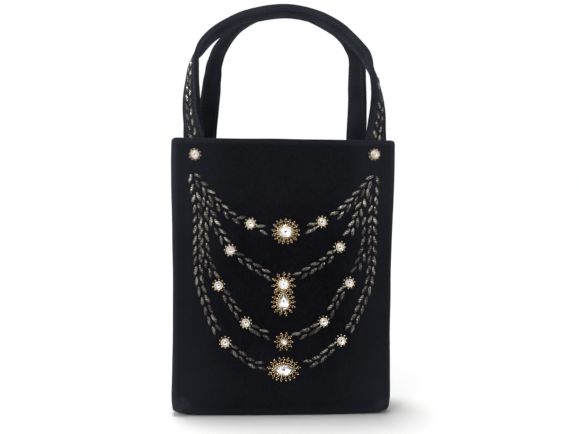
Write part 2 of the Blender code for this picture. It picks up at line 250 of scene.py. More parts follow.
# %% [markdown]
# ## Skinning by extrusion
#
# Both the shell and the straps are tubes of cloth whose section changes all the way along. By
# hand one would add a circle, shape it into the first section, extrude it, shape the new ring,
# and go on. The function below does just that: a circle is added, and each extrusion is put in
# its place. A lattice or a curve with a bevel could bend a plain tube, but neither could give
# each ring its own folds.

# %% Extruding rings
def skin(name, rings):
    """Extrude a circle of points from ring to ring, close both ends and point the faces out."""
    count = len(rings[0])
    thing = add_primitive(name, bpy.ops.mesh.primitive_circle_add, vertices=count)
    thing.data.vertices.foreach_set("co", np.asarray(rings[0], dtype=np.float32).ravel())
    edit(thing)
    for before, after in zip(rings, rings[1:]):
        bpy.ops.mesh.extrude_edges_move()
        grid = bmesh.from_edit_mesh(thing.data)
        grid.verts.ensure_lookup_table()
        before = np.asarray(before)
        for vert in grid.verts[-count:]:
            twin = int(np.argmin(((before - np.array(vert.co)) ** 2).sum(1)))
            vert.co = after[twin]
    bpy.ops.mesh.edge_face_add()
    bpy.ops.mesh.select_mode(type="VERT")
    bpy.ops.mesh.select_all(action="DESELECT")
    bpy.ops.object.mode_set(mode="OBJECT")
    for vertex in thing.data.vertices[:count]:
        vertex.select = True
    bpy.ops.object.mode_set(mode="EDIT")
    bpy.ops.mesh.edge_face_add()
    bpy.ops.mesh.select_all(action="SELECT")
    bpy.ops.mesh.normals_make_consistent(inside=False)
    bpy.ops.object.mode_set(mode="OBJECT")
    print(f"{name}: {len(rings)} rings of {count} points")
    return thing


def eased(rows, mark):
    """A row read from a smooth curve through a table, whose first column is the mark."""
    rows = np.asarray(rows, dtype=float)
    marks = rows[:, 0]
    i = int(np.clip(np.searchsorted(marks, mark, side="right") - 1, 0, len(rows) - 2))
    low, high = max(i - 1, 0), min(i + 2, len(rows) - 1)
    span = marks[i + 1] - marks[i]
    t = (mark - marks[i]) / span
    leave = (rows[i + 1] - rows[low]) / (marks[i + 1] - marks[low]) * span
    arrive = (rows[high] - rows[i]) / (marks[high] - marks[i]) * span
    weight = 2 * t**3 - 3 * t**2 + 1
    return (rows[i] * weight + rows[i + 1] * (1 - weight)
            + leave * (t**3 - 2 * t**2 + t) + arrive * (t**3 - t**2))


def marks_along(points):
    """The length from the start to each point of a line."""
    return np.concatenate([[0.0], np.cumsum(np.linalg.norm(np.diff(points, axis=0), axis=1))])


print("halfway up a step from 0 to 1:", eased([(0, 0), (1, 1)], 0.5)[1])

# %% [markdown]
# ## The shell
#
# The real bag has a stiff front and back, each covered in velvet, and two soft gussets sewn
# between them that fold inwards towards the mouth. The velvet turns over the rim and goes down
# inside. One could join four flat panels, but the cloth runs round the corners without a break,
# so it is one skin: rings from the base up to the rim and down the inside again. Its sizes are
# close to those of the solid that it covers. The photograph shows the rim a millimetre higher and
# the lower corners a little fuller, so the skin follows the photograph there. The rings lie close
# together at the rim and at the base, where the cloth turns sharply, and the points lie close
# along the four seams.

# %% The shell's sizes
BAG_WIDTH, BAG_HEIGHT, BAG_DEPTH = 176 * MM, 222.4 * MM, 50 * MM
WALL, PLAN_CORNER, RIM_ROUND = 2 * MM, 6 * MM, 3 * MM
BASE_RISE, BASE_SWEEP, BASE_EDGE = 5 * MM, 30 * MM, 4 * MM
BELLY, GUSSET_FOLD, GUSSET_DIP = 3.5 * MM, 6 * MM, 5 * MM
low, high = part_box("bag_body")
BODY_MIDDLE_Y = (low.y + high.y) / 2

# Up the wall, then shares of the width, depth, belly, gusset fold and rim dip
SECTIONS = [
    (0.00, 1.000, 0.992, 0.50, 0.00, 0.00),
    (0.04, 1.011, 1.000, 0.60, 0.01, 0.00),
    (0.14, 1.007, 1.000, 0.80, 0.04, 0.00),
    (0.30, 1.000, 1.000, 1.00, 0.12, 0.00),
    (0.48, 1.000, 0.990, 1.00, 0.28, 0.00),
    (0.65, 1.005, 0.965, 0.82, 0.50, 0.02),
    (0.80, 1.016, 0.935, 0.55, 0.74, 0.15),
    (0.91, 1.021, 0.905, 0.28, 0.92, 0.50),
    (1.00, 1.019, 0.880, 0.10, 1.00, 1.00),
]
FRONT_POINTS, CORNER_POINTS, GUSSET_POINTS = 22, 7, 16
BASE_RINGS, OUTER_RINGS, RIM_RINGS, INNER_RINGS = 9, 100, 6, 40
SEAM_DEPTH, SEAM_HALF_WIDTH, SEAM_SET_BACK = 0.7 * MM, 0.9 * MM, 1.2 * MM
SEAM_CROWDING = 1.5
PUCKER, PUCKER_EVERY = 0.25, 3.6 * MM
print("the shell's middle lies at y =", round(BODY_MIDDLE_Y, 5))


# %% The shell's rings
def quarter_plan(half_w, half_d, corner, belly, fold, seam):
    """From mid front to mid gusset: x, y, the share of fold, and x before the gusset folds in."""
    flat_x, flat_y = half_w - corner, half_d - corner
    points = []
    for i in range(FRONT_POINTS + 1):
        x = flat_x * i / FRONT_POINTS
        points.append((x, -half_d - belly * max(0.0, 1 - (x / flat_x) ** 2), 0.0, x))
    for i in range(1, CORNER_POINTS + 1):
        turn = math.pi / 2 * i / CORNER_POINTS
        x = flat_x + corner * math.sin(turn)
        points.append((x, -flat_y - corner * math.cos(turn), 0.0, x))
    for i in range(1, GUSSET_POINTS + 1):
        back = (i / GUSSET_POINTS) ** SEAM_CROWDING
        y = -flat_y * (1 - back)
        crease = 0.5 * (1 + math.cos(math.pi * min(1.0, abs(y) / flat_y)))
        sewn = seam * math.exp(-((flat_y * back - SEAM_SET_BACK) / SEAM_HALF_WIDTH) ** 2)
        points.append((half_w - fold * crease - sewn, y, crease, half_w))
    return points


def shell_ring(z, inset_x, inset_y, corner, seam):
    """One ring of the shell at a height, drawn in from the outer face by the insets."""
    up = min(max((z - BASE_RISE) / (BAG_HEIGHT - BASE_RISE), 0.0), 1.0)
    _, width, depth, belly, fold, dip = eased(SECTIONS, up)
    half = BAG_WIDTH / 2 * width
    quarter = quarter_plan(half - inset_x, BAG_DEPTH / 2 * depth - inset_y, corner,
                           BELLY * belly, GUSSET_FOLD * fold, seam)
    points = []
    for x, y, crease, flat_x in quarter:
        past = min(RIM_ROUND, max(0.0, flat_x + inset_x - (half - RIM_ROUND)))
        fall = RIM_ROUND - math.sqrt(RIM_ROUND**2 - past**2) + GUSSET_DIP * crease
        points.append((x, y, z - dip * fall))
    right = points + [(x, -y, z) for x, y, z in reversed(points[:-1])]
    ring = right + [(-x, y, z) for x, y, z in reversed(right[1:-1])]
    return [(x, y + BODY_MIDDLE_Y, z) for x, y, z in ring]


def base_turn(wall):
    """The rings that turn from the flat base into the walls."""
    turns = [math.pi / 2 * i / BASE_RINGS for i in range(BASE_RINGS)]
    return [shell_ring(wall + BASE_RISE * (1 - math.cos(turn)),
                       wall + BASE_SWEEP * (1 - math.sin(turn)),
                       wall + BASE_EDGE * (1 - math.sin(turn)), PLAN_CORNER - wall, 0.0)
            for turn in turns]


def shell_rings():
    """Up the outside, over the rim and down the inside."""
    foot, crest = BASE_RISE, BAG_HEIGHT - WALL / 2
    outside, rim, inside = base_turn(0.0), [], base_turn(WALL)
    for i in range(OUTER_RINGS + 1):
        z = foot + (crest - foot) * i / OUTER_RINGS
        pucker = 1 - PUCKER + PUCKER * math.cos(2 * math.pi * z / PUCKER_EVERY)
        outside.append(shell_ring(z, 0.0, 0.0, PLAN_CORNER, SEAM_DEPTH * pucker))
    for i in range(INNER_RINGS + 1):
        z = foot + WALL + (crest - foot - WALL) * i / INNER_RINGS
        inside.append(shell_ring(z, WALL, WALL, PLAN_CORNER - WALL, 0.0))
    for i in range(1, RIM_RINGS):
        turn = math.pi * i / RIM_RINGS
        inset = WALL / 2 * (1 - math.cos(turn))
        rim.append(shell_ring(crest + WALL / 2 * math.sin(turn), inset, inset,
                              PLAN_CORNER - inset, 0.0))
    return outside + rim + inside[::-1]


bag_velvet = skin("bag_velvet", shell_rings())

# %% [markdown]
# ## Life in the cloth
#
# A covered board is never quite flat. The velvet swells a little between its edges, and small
# dents stay where it was pressed. The points are moved by a slow noise, less than half a
# millimetre, and nothing is moved on the flat base or close to the floor. The same pass writes
# how much paler the pile is made: rubbed at the foot and above all at the lower left corner,
# painted sheen along the rim, the upright edges and towards the sides, and painted light on the
# upper and the lower panel. Each sets in smoothly over a stretch of its own.

# %% Dents, rubbed pile, painted sheen and painted light
DENT, DENT_ACROSS = 0.4 * MM, 34 * MM
STILL_BELOW, STILL_OVER = 6 * MM, 20 * MM

# The most that rubbing, painted sheen and painted light make the pile paler, where that sets in and
# where it is full
# Painted sheen along the upright edges and towards the sides
EDGE_SHEEN, SIDE_SHEEN = (0.38, 83 * MM, 88 * MM), (0.24, 35 * MM, 84 * MM)
# Painted sheen along the rim, and painted light on the upper panel
RIM_SHEEN, UPPER_LIGHT = (0.34, 217 * MM, 221 * MM), (0.12, 130 * MM, 200 * MM)
# Rubbed pile at the foot, and painted light on the lower panel
FOOT_WEAR, LOW_LIGHT = (0.20, 9 * MM, 2 * MM), (0.14, 80 * MM, 10 * MM)
LEFT_CORNER_WEAR, RIGHT_CORNER_WEAR = (1.4, 9 * MM, 1 * MM), (0.5, 9 * MM, 1 * MM)
CORNER_SPOT, CORNER_BLOTCH = (81 * MM, 9 * MM), 4 * MM
CORNER_MEAN, CORNER_SWING = 0.6, 0.8
# Where the painted sheen on the edges fades out towards the gusset
GUSSET_UNSHEENED, PANEL_SHEENED = 12 * MM, 20 * MM
INSIDE_DEPTH, INSIDE_WIDTH = BAG_DEPTH / 2 - 7 * MM, 76 * MM


def ramp(value, start, full):
    """0 at the start, 1 where it is full, and smooth between. Either may be the higher one."""
    t = min(1.0, max(0.0, (value - start) / (full - start)))
    return t * t * (3 - 2 * t)


def paled(value, wear_and_sheen):
    """How much paler one setting makes the pile where a measure has this value; the settings are
    rubbed pile, painted sheen and painted light.
    """
    most, start, full = wear_and_sheen
    return most * ramp(value, start, full)


def soften(thing, rubbed_and_sheen, still_below):
    """Move the points by a slow noise and note on each how much paler its pile is made, by rubbing,
    painted sheen and painted light, less any painted shade.
    """
    mesh = thing.data
    normals = [vertex.normal.copy() for vertex in mesh.vertices]
    wear_and_sheen = mesh.attributes.new("wear_and_sheen", "FLOAT", "POINT")
    for vertex, normal in zip(mesh.vertices, normals):
        moved = min(1.0, max(0.0, (vertex.co.z - still_below) / STILL_OVER))
        moved *= DENT * noise.noise(vertex.co / DENT_ACROSS)
        wear_and_sheen.data[vertex.index].value = rubbed_and_sheen(vertex.co)
        vertex.co += normal * moved


def shell_paleness(place):
    """How much paler the shell's pile is at a point, from 0 to 1: painted sheen, painted light, and
    rubbed pile at the foot and the lower corners.
    """
    aside, back, z = abs(place.x), abs(place.y - BODY_MIDDLE_Y), place.z
    if back <= INSIDE_DEPTH and aside <= INSIDE_WIDTH:
        return 0.0
    # Painted sheen on the upright edges and sides, none on the gusset
    edge = paled(aside, EDGE_SHEEN) + paled(aside, SIDE_SHEEN)
    edge *= ramp(back, GUSSET_UNSHEENED, PANEL_SHEENED)
    from_spot = math.dist((aside, z), CORNER_SPOT)
    patch = paled(from_spot, LEFT_CORNER_WEAR if place.x < 0 else RIGHT_CORNER_WEAR)
    patch *= CORNER_MEAN + CORNER_SWING * noise.noise(place / CORNER_BLOTCH)
    # Painted sheen on the rim, painted light high and low, rubbed pile at the foot
    rest = sum(paled(z, wear_and_sheen) for wear_and_sheen in (RIM_SHEEN, UPPER_LIGHT, FOOT_WEAR, LOW_LIGHT))
    return min(1.0, max(0.0, edge + patch + rest))


soften(bag_velvet, shell_paleness, STILL_BELOW)
dress(bag_velvet, VELVET)
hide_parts("bag_body")

# %% [markdown]
# ## Reading the straps' lines
#
# The straps twist as they rise: each leg faces out of the bag at its foot and turns until its
# edge is all that shows at the top. The solids hold that twist already. Their points lie in rings
# of fourteen across the strap, so walking from one ring to the next along the mesh's edges gives
# the strap's middle, its width and the way that its outer face looks, all the way over. A copy of
# the solid is merged first, because it arrives as loose triangles.

# %% Walking along a solid strap
RING_POINTS = 14
HALF_RING = RING_POINTS // 2
SAME_POINT, FOOT_DEPTH = 0.001 * MM, 0.05 * MM


def merged_copy(node):
    """The points of a CAD node and the pairs that its edges join, with doubles merged."""
    thing = add_object("walked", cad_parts[node].data.copy())
    edit(thing)
    bpy.ops.mesh.remove_doubles(threshold=SAME_POINT)
    bpy.ops.object.mode_set(mode="OBJECT")
    points = np.array([vertex.co for vertex in thing.data.vertices])
    edges = [tuple(edge.vertices) for edge in thing.data.edges]
    bpy.data.objects.remove(thing)
    return points, edges


def walk_rings(points, edges, start):
    """Rings of points, from the ring that holds the start to the tube's other end."""
    near = {}
    for a, b in edges:
        near.setdefault(a, set()).add(b)
        near.setdefault(b, set()).add(a)
    ring, seen, rings = set(start), set(start), []
    while ring:
        rings.append(points[sorted(ring)])
        ring = {n for v in ring for n in near[v]} - seen
        seen |= ring
    return rings


def in_step(rings, first):
    """Each ring ordered round the tube and turned to match the one before."""
    ordered = []
    for ring in rings:
        flat = ring - ring.mean(0)
        across = np.linalg.svd(flat)[2]
        angles = np.arctan2(flat @ across[1], flat @ across[0])
        ring = ring[np.argsort(angles)]
        turned = [np.roll(way, shift, 0) for way in (ring, ring[::-1])
                  for shift in range(len(ring))]
        if ordered:
            ring = min(turned, key=lambda way: ((way - ordered[-1]) ** 2).sum())
        else:
            ring = min(turned, key=first)
        ordered.append(ring)
    return np.array(ordered)


class StrapLine:
    """A strap's middle line, with its width and the way its outer face looks at any length."""

    def __init__(self, node, side):
        points, edges = merged_copy(node)
        foot = points[:, 2].min() + FOOT_DEPTH
        start = [i for i, p in enumerate(points) if p[2] < foot and p[0] < 0]
        rings = in_step(walk_rings(points, edges, start),
                        lambda ring: -side * ring[0, 1] / MM - ring[1:HALF_RING, 0].mean())
        outer, inner = rings[:, 0], rings[:, HALF_RING]
        right, left = rings[:, 1:HALF_RING].mean(1), rings[:, HALF_RING + 1:].mean(1)
        middle = (outer + inner) / 2
        marks = marks_along(middle)
        self.length = float(marks[-1])
        self.rows = np.column_stack([marks, middle, outer - inner, right - left])

    def at(self, mark):
        """The middle, the width's direction and the outer face's direction at a length."""
        row = eased(self.rows, min(max(mark, 0.0), self.length))
        face = row[4:7] / np.linalg.norm(row[4:7])
        width = row[7:10] - face * (row[7:10] @ face)
        return row[1:4], width / np.linalg.norm(width), face


lines = {"front": StrapLine("handle_front", -1), "back": StrapLine("handle_back", 1)}
for side, line in lines.items():
    print(f"{side} strap: {line.length / MM:.0f} mm long in {len(line.rows)} rings")

# %% [markdown]
# ## The padded straps
#
# Each strap is velvet wrapped round a soft filling and stitched through near both edges. The
# stitching draws the cloth in, so the middle swells and each edge stands up as a narrow piping.
# A simulation would blur these lines, which are a millimetre wide. They are drawn in the strap's
# section instead, and the section is extruded along the line that was just read. Each stitch
# pulls a little harder than the cloth beside it, so the channel deepens at every stitch.

# %% The strap's section and skin
STRAP_HALF_WIDTH, STRAP_HALF_THICK = 8.2 * MM, 2.3 * MM
STRAP_PAD, STRAP_EDGE = 0.55 * MM, 1.15 * MM
STITCH_LINE, STITCH_DEPTH, STITCH_HALF = 5.7 * MM, 0.42 * MM, 0.42 * MM
STITCH_LONG, STITCH_EVERY = 2.3 * MM, 3.1 * MM
PIPING, SIDE_SWELL = 0.22 * MM, 0.12 * MM
FACE_POINTS, TURN_STEPS, STRAP_RINGS = 33, 6, 230
STITCH_PULL = 0.2
UNEVEN, UNEVEN_ALONG = 0.018, 9 * MM


def face_height(across, pull):
    """How far the strap's face stands out from its middle plane."""
    swell = STRAP_PAD * max(0.0, 1 - (across / STITCH_LINE) ** 2)
    channel = math.exp(-((abs(across) - STITCH_LINE) / STITCH_HALF) ** 2)
    return STRAP_HALF_THICK + swell - STITCH_DEPTH * pull * channel


def strap_section(pull):
    """The strap cut across, as points along its width and out of its outer face."""
    flat, side = STRAP_HALF_WIDTH - STRAP_EDGE, STRAP_HALF_THICK - STRAP_EDGE
    half = [(w, face_height(w, pull)) for w in np.linspace(flat, -flat, FACE_POINTS)]
    corner = []
    for i in range(1, TURN_STEPS):
        turn = math.pi / 2 * i / TURN_STEPS
        reach = STRAP_EDGE + PIPING * math.sin(2 * turn) ** 2
        corner.append((-flat - reach * math.sin(turn), side + reach * math.cos(turn)))
    half += corner
    for rise in (side, 0.0, -side):
        half.append((-STRAP_HALF_WIDTH - SIDE_SWELL * (1 - (rise / side) ** 2), rise))
    half += [(w, -t) for w, t in reversed(corner)]
    return half + [(-w, -t) for w, t in half]


def strap_rings(line):
    """The section placed along a strap's line, its edges a little uneven as sewn cloth is."""
    rings = []
    for i in range(STRAP_RINGS + 1):
        mark = line.length * i / STRAP_RINGS
        middle, width, face = line.at(mark)
        pull = 1 - STITCH_PULL + STITCH_PULL * math.cos(2 * math.pi * mark / STITCH_EVERY)
        uneven = 1 + UNEVEN * noise.noise(Vector((mark / UNEVEN_ALONG, line.length, 0.0)))
        rings.append([middle + width * w * uneven + face * t for w, t in strap_section(pull)])
    return rings


# %% Rubbed pile, painted sheen and painted shade on the straps, and dressing them
STRAP_SAMPLES = 400
# Rubbed pile and painted sheen over the strap's faces
STRAP_RUB_AND_SHEEN, STRAP_BLOTCH = 0.80, 16 * MM
STRAP_MEAN, STRAP_SWING = 0.72, 0.4
# Painted sheen on the piping
PIPING_SHEEN = (0.25, 6.6 * MM, 8.0 * MM)
# Painted shade: the strap's sides are darker below these heights, where the legs shade each other
SHADE, SHADE_FROM, SHADE_BELOW = 0.55, (7.7 * MM, 8.1 * MM), (290 * MM, 250 * MM)


def strap_paleness(line):
    """Paler pile along a strap: rubbed pile and painted sheen on its faces, painted sheen on its
    piping and painted shade on its sides, found from how far a point lies from the middle.
    """
    samples = [line.at(line.length * i / STRAP_SAMPLES) for i in range(STRAP_SAMPLES + 1)]
    middles = np.array([middle for middle, _, _ in samples])

    def rubbed_and_sheen(place):
        """How much paler the pile is made: rubbed pile and painted sheen, less painted shade on the
        strap's sides, where the legs shade each other.
        """
        spot = np.array(place)
        middle, width, _ = samples[int(np.argmin(((middles - spot) ** 2).sum(1)))]
        across = abs((spot - middle) @ width)
        patchy = STRAP_MEAN + STRAP_SWING * noise.noise(place / STRAP_BLOTCH)
        shaded = ramp(across, *SHADE_FROM) * ramp(place.z, *SHADE_BELOW)
        # Painted shade takes some paleness back on the sides
        return (STRAP_RUB_AND_SHEEN * patchy + paled(across, PIPING_SHEEN)) * (1 - SHADE * shaded)

    return rubbed_and_sheen


for side, line in lines.items():
    strap = skin(f"strap_{side}", strap_rings(line))
    soften(strap, strap_paleness(line), BAG_HEIGHT)
    dress(strap, VELVET)
    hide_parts(f"handle_{side}")

# %% [markdown]
# ## Landing on the cloth
#
# Every bead and stitch sits on the velvet, so its place is found by looking for it: a line goes
# back from in front of the bag and stops at the skin. That gives the point and the way that the
# cloth faces there, and a frame on that point carries the piece.

# %% Finding the surface
def tree_of(thing):
    """A search tree of an object's faces."""
    return BVHTree.FromObject(thing, bpy.context.evaluated_depsgraph_get())


SHELL_TREE = tree_of(bag_velvet)
IN_FRONT = -0.2


def on_panel(x, z):
    """The velvet's point and normal behind a place on the front panel."""
    spot, normal, _, _ = SHELL_TREE.ray_cast(Vector((x, IN_FRONT, z)), Vector((0, 1, 0)))
    return spot, normal


def seat(spot, normal, along, lift=0.0, size=(1, 1, 1)):
    """A place on a surface: X runs along, Z stands out of the cloth, then the sizes are set."""
    out = normal.normalized()
    across = out.cross(Vector(along)).normalized()
    ahead = across.cross(out)
    place = Matrix((ahead, across, out)).transposed().to_4x4()
    place.translation = spot + out * lift
    return place @ Matrix.Diagonal((*size, 1))


print("panel's middle at y =", round(on_panel(0, 0.1)[0].y, 5))

# %% [markdown]
# ## One shape, stamped many times
#
# There are hundreds of stitches and beads. Each kind is modelled once with a few dozen faces,
# then copied to its places. Every copy has its own mesh and its own tone, a number from 0 to 1
# that the material reads, so that no two look quite the same. The copies are joined, because a
# row of stitches is sewn as one thing.

# %% Stamping copies
def stamp(template, name, places):
    """Copy a template to each place with its own mesh and tone, and join the copies."""
    copies = []
    for place in places:
        mesh = template.data.copy()
        mesh.transform(place)
        tone = mesh.attributes.new("tone", "FLOAT", "POINT")
        tone.data.foreach_set("value", [RANDOM.random()] * len(mesh.vertices))
        copies.append(add_object(name, mesh))
    pick(copies[0])
    for thing in copies:
        thing.select_set(True)
    bpy.ops.object.join()
    copies[0].name = copies[0].data.name = name
    edit(copies[0])
    bpy.ops.mesh.normals_make_consistent(inside=False)
    bpy.ops.object.mode_set(mode="OBJECT")
    return copies[0]


# %% [markdown]
# ## Metallic thread
#
# The leaves are worked in metallic thread, a flat strip of foil wound on a core. It looks
# grey-gold, dull from most sides, and it sparkles where one wrap happens to face the light. The
# wraps cross each leaf at a slant, several to a millimetre. That is too fine to show, so they are
# drawn coarser, one to every 1.7 mm, near the spacing of the leaf's ridges, with painted shade
# between them. The leaf's own map is in millimetres, so the wraps keep their size on every leaf,
# and a noise paints a few spots near white as painted glints. Painted shade darkens a leaf where
# it dives into the cloth and along its edges, and darkens the leaves low on the bag, which catch
# less of the light.

# %% The thread's material
WRAP_EVERY = 1.689
# Painted shade on low leaves: the heights in metres over which it lifts, and the share of colour
# kept
LOW_AND_HIGH = {"From Min": 0.11, "From Max": 0.20, "To Min": 0.46, "To Max": 0.84}


def thread_material():
    """Grey-gold thread in satin stitch: slanting strands, a few painted glints, painted shade
    between the strands, where they dive, along the edges and low on the bag.
    """
    material, tree, shader = start_material("metallic_thread", {
        "Metallic": 0.6,
        "Specular IOR Level": 0.4,
    })
    own_map = add_node(tree, "ShaderNodeUVMap").outputs[0]
    place = add_node(tree, "ShaderNodeTexCoord").outputs["Object"]
    tone = add_node(tree, "ShaderNodeAttribute", {"attribute_name": "tone"}).outputs["Fac"]
    wraps = add_node(tree, "ShaderNodeTexWave", {"wave_type": "BANDS", "bands_direction": "X"},
                     {"Scale": math.pi / 10 / WRAP_EVERY, "Distortion": 0.7, "Detail": 1.0,
                      "Detail Scale": 1.5, "Phase Offset": math.pi / 2}, {"Vector": own_map})
    glint = add_node(tree, "ShaderNodeTexNoise", values={
        "Scale": per_mm(1.4), "Detail": 2.0, "Roughness": 0.6,
    }, links={"Vector": place})
    lively = add_node(tree, "ShaderNodeMath", MULTIPLY_ADD, {1: 0.16},
                      {0: tone, 2: glint.outputs["Fac"]})
    bright = add_node(tree, "ShaderNodeMapRange", values={
        "From Min": 0.56, "From Max": 0.65, "To Min": 0.0, "To Max": 1.0,
    }, links={"Value": lively.outputs[0]})
    strand = add_node(tree, "ShaderNodeMix", COLOURS,
                      {FIRST: srgb("2C2624"), SECOND: srgb("786C67")},
                      {SHARE: glint.outputs["Fac"]})
    # Painted glints: where the noise is high, the colour is mixed towards near white.
    lit = add_node(tree, "ShaderNodeMix", COLOURS, {SECOND: srgb("FFFAE4")},
                   {SHARE: bright.outputs[0], FIRST: strand.outputs[MIXED]})
    # Painted shade: darker towards the leaf's outer end, where it dives into the cloth, and along
    # its edges.
    parts = add_node(tree, "ShaderNodeSeparateXYZ", links={0: own_map})
    aside = add_node(tree, "ShaderNodeMath", {"operation": "ABSOLUTE"}, links={0: parts.outputs[1]})
    along = add_node(tree, "ShaderNodeMapRange", EASED,
                     {"From Min": 0.0, "From Max": 3.6, "To Min": 1.0, "To Max": 0.25},
                     {"Value": parts.outputs[0]})
    across = add_node(tree, "ShaderNodeMapRange", EASED,
                      {"From Min": 0.5, "From Max": 1.5, "To Min": 1.0, "To Max": 0.3},
                      {"Value": aside.outputs[0]})
    dive_and_edge_shade = add_node(tree, "ShaderNodeMath", MULTIPLY,
                    links={0: along.outputs[0], 1: across.outputs[0]})
    # Painted shade: leaves low on the bag are darker.
    up = add_node(tree, "ShaderNodeSeparateXYZ", links={0: place}).outputs["Z"]
    level = add_node(tree, "ShaderNodeMapRange", EASED,
                     LOW_AND_HIGH, {"Value": up})
    open_to_light = add_node(tree, "ShaderNodeMath", MULTIPLY,
                             links={0: dive_and_edge_shade.outputs[0], 1: level.outputs[0]})
    # Painted shade between the wraps: the colour is mixed towards near black there.
    raised = add_node(tree, "ShaderNodeMath", MULTIPLY,
                      links={0: open_to_light.outputs[0], 1: wraps.outputs["Fac"]})
    shaded = add_node(tree, "ShaderNodeMix", COLOURS, {FIRST: srgb("1A181B")},
                      {SHARE: raised.outputs[0], SECOND: lit.outputs[MIXED]})
    tree.links.new(shaded.outputs[MIXED], shader.inputs["Base Color"])
    gloss = add_node(tree, "ShaderNodeMapRange", values={"To Min": 0.5, "To Max": 0.22},
                     links={"Value": bright.outputs[0]})
    tree.links.new(gloss.outputs[0], shader.inputs["Roughness"])
    crinkle = add_node(tree, "ShaderNodeMath", MULTIPLY_ADD, {1: 0.8},
                       {0: glint.outputs["Fac"], 2: wraps.outputs["Fac"]})
    bump = add_node(tree, "ShaderNodeBump", values={"Strength": 0.9, "Distance": 0.3 * MM},
                    links={"Height": crinkle.outputs[0]})
    tree.links.new(bump.outputs[0], shader.inputs["Normal"])
    return material


THREAD = thread_material()
print("made", THREAD.name)

# %% [markdown]
# ## One leaf
#
# A leaf is a satin stitch about eight millimetres long and three wide: strands laid side by side
# over a little padding, pointed at both ends. A flat grid is added, every second column is
# raised so that the strands stand as ridges, the rows are drawn in to a point at both ends, and
# the open underside is closed with one face.

# %% Modelling the leaf
LEAF_LONG, LEAF_WIDE, LEAF_HIGH = 7.8 * MM, 3.05 * MM, 0.8 * MM
LEAF_COLUMNS, LEAF_ROWS = 9, 4
STRAND_RIDGE = 0.24 * MM
STRAND_SLANT = 0.75
LEAF_SUNK, LEAF_TIP = 0.12 * MM, 0.06


def model_leaf():
    """The leaf along X, with its strands slanting across it and Z out of the cloth."""
    leaf = add_primitive("leaf", bpy.ops.mesh.primitive_grid_add, x_subdivisions=LEAF_COLUMNS,
                         y_subdivisions=LEAF_ROWS, size=1)
    own_map = {}
    for vertex in leaf.data.vertices:
        u, v = vertex.co.x, vertex.co.y
        column = round((u + 0.5) * LEAF_COLUMNS)
        spread = max(LEAF_TIP, (1 - (2 * abs(u)) ** 2.2)) ** 0.8
        ridge = STRAND_RIDGE if column % 2 else -STRAND_RIDGE
        height = LEAF_HIGH * spread**0.6 * math.sqrt(max(0.0, 1 - (2 * v) ** 2))
        rim = 1 - abs(2 * v) ** 4
        y = v * LEAF_WIDE * spread
        vertex.co = (u * LEAF_LONG + y * STRAND_SLANT, y, height + ridge * rim * spread - LEAF_SUNK)
        own_map[vertex.index] = (u * LEAF_LONG / MM, v * LEAF_WIDE / MM)
    layer = leaf.data.uv_layers.active
    for loop in leaf.data.loops:
        layer.data[loop.index].uv = own_map[loop.vertex_index]
    edit(leaf)
    bpy.ops.mesh.select_mode(type="EDGE")
    bpy.ops.mesh.select_all(action="DESELECT")
    bpy.ops.mesh.select_non_manifold()
    bpy.ops.mesh.edge_face_add()
    bpy.ops.mesh.select_all(action="SELECT")
    bpy.ops.mesh.normals_make_consistent(inside=False)
    bpy.ops.object.mode_set(mode="OBJECT")
    return leaf


leaf = model_leaf()
print("faces on a leaf:", len(leaf.data.polygons))

# %% [markdown]
# ## The festoons
#
# Four swags hang between the upper corners, one under the other. Each is a vine of two rows of
# leaves, sewn a half step apart, that flare outwards from the vine's line and point towards the
# middle. The routes were chosen one by one over the photograph. Where a route meets a stone, the
# stone's own place is used, and leaves stop short of the beads round it.

# %% The routes of the vines
LEAF_STEP = 8.15 * MM
LEAF_OFFSET = 2.15 * MM
ROW_STARTS, OUTER_STARTS = (2.4 * MM, 7.0 * MM), (8.6 * MM, 1.6 * MM)
AFTER_STONE = (8.3 * MM, 12.0 * MM)
ROSETTE_CLEAR, CENTRE_CLEAR = 8.0 * MM, 8.2 * MM
FLARE_TOP, FLARE_LOW = math.radians(15), math.radians(6)
FLARE_FROM = (90 * MM, 165 * MM)
LEAF_APART, LEAF_ROOM = 3.2 * MM, 3 * MM
ROUTE_STEP, LOOK_AHEAD = 0.25 * MM, 1 * MM
CENTRE_NAMES = ("oval", "round", "pear", "flower", "marquise")

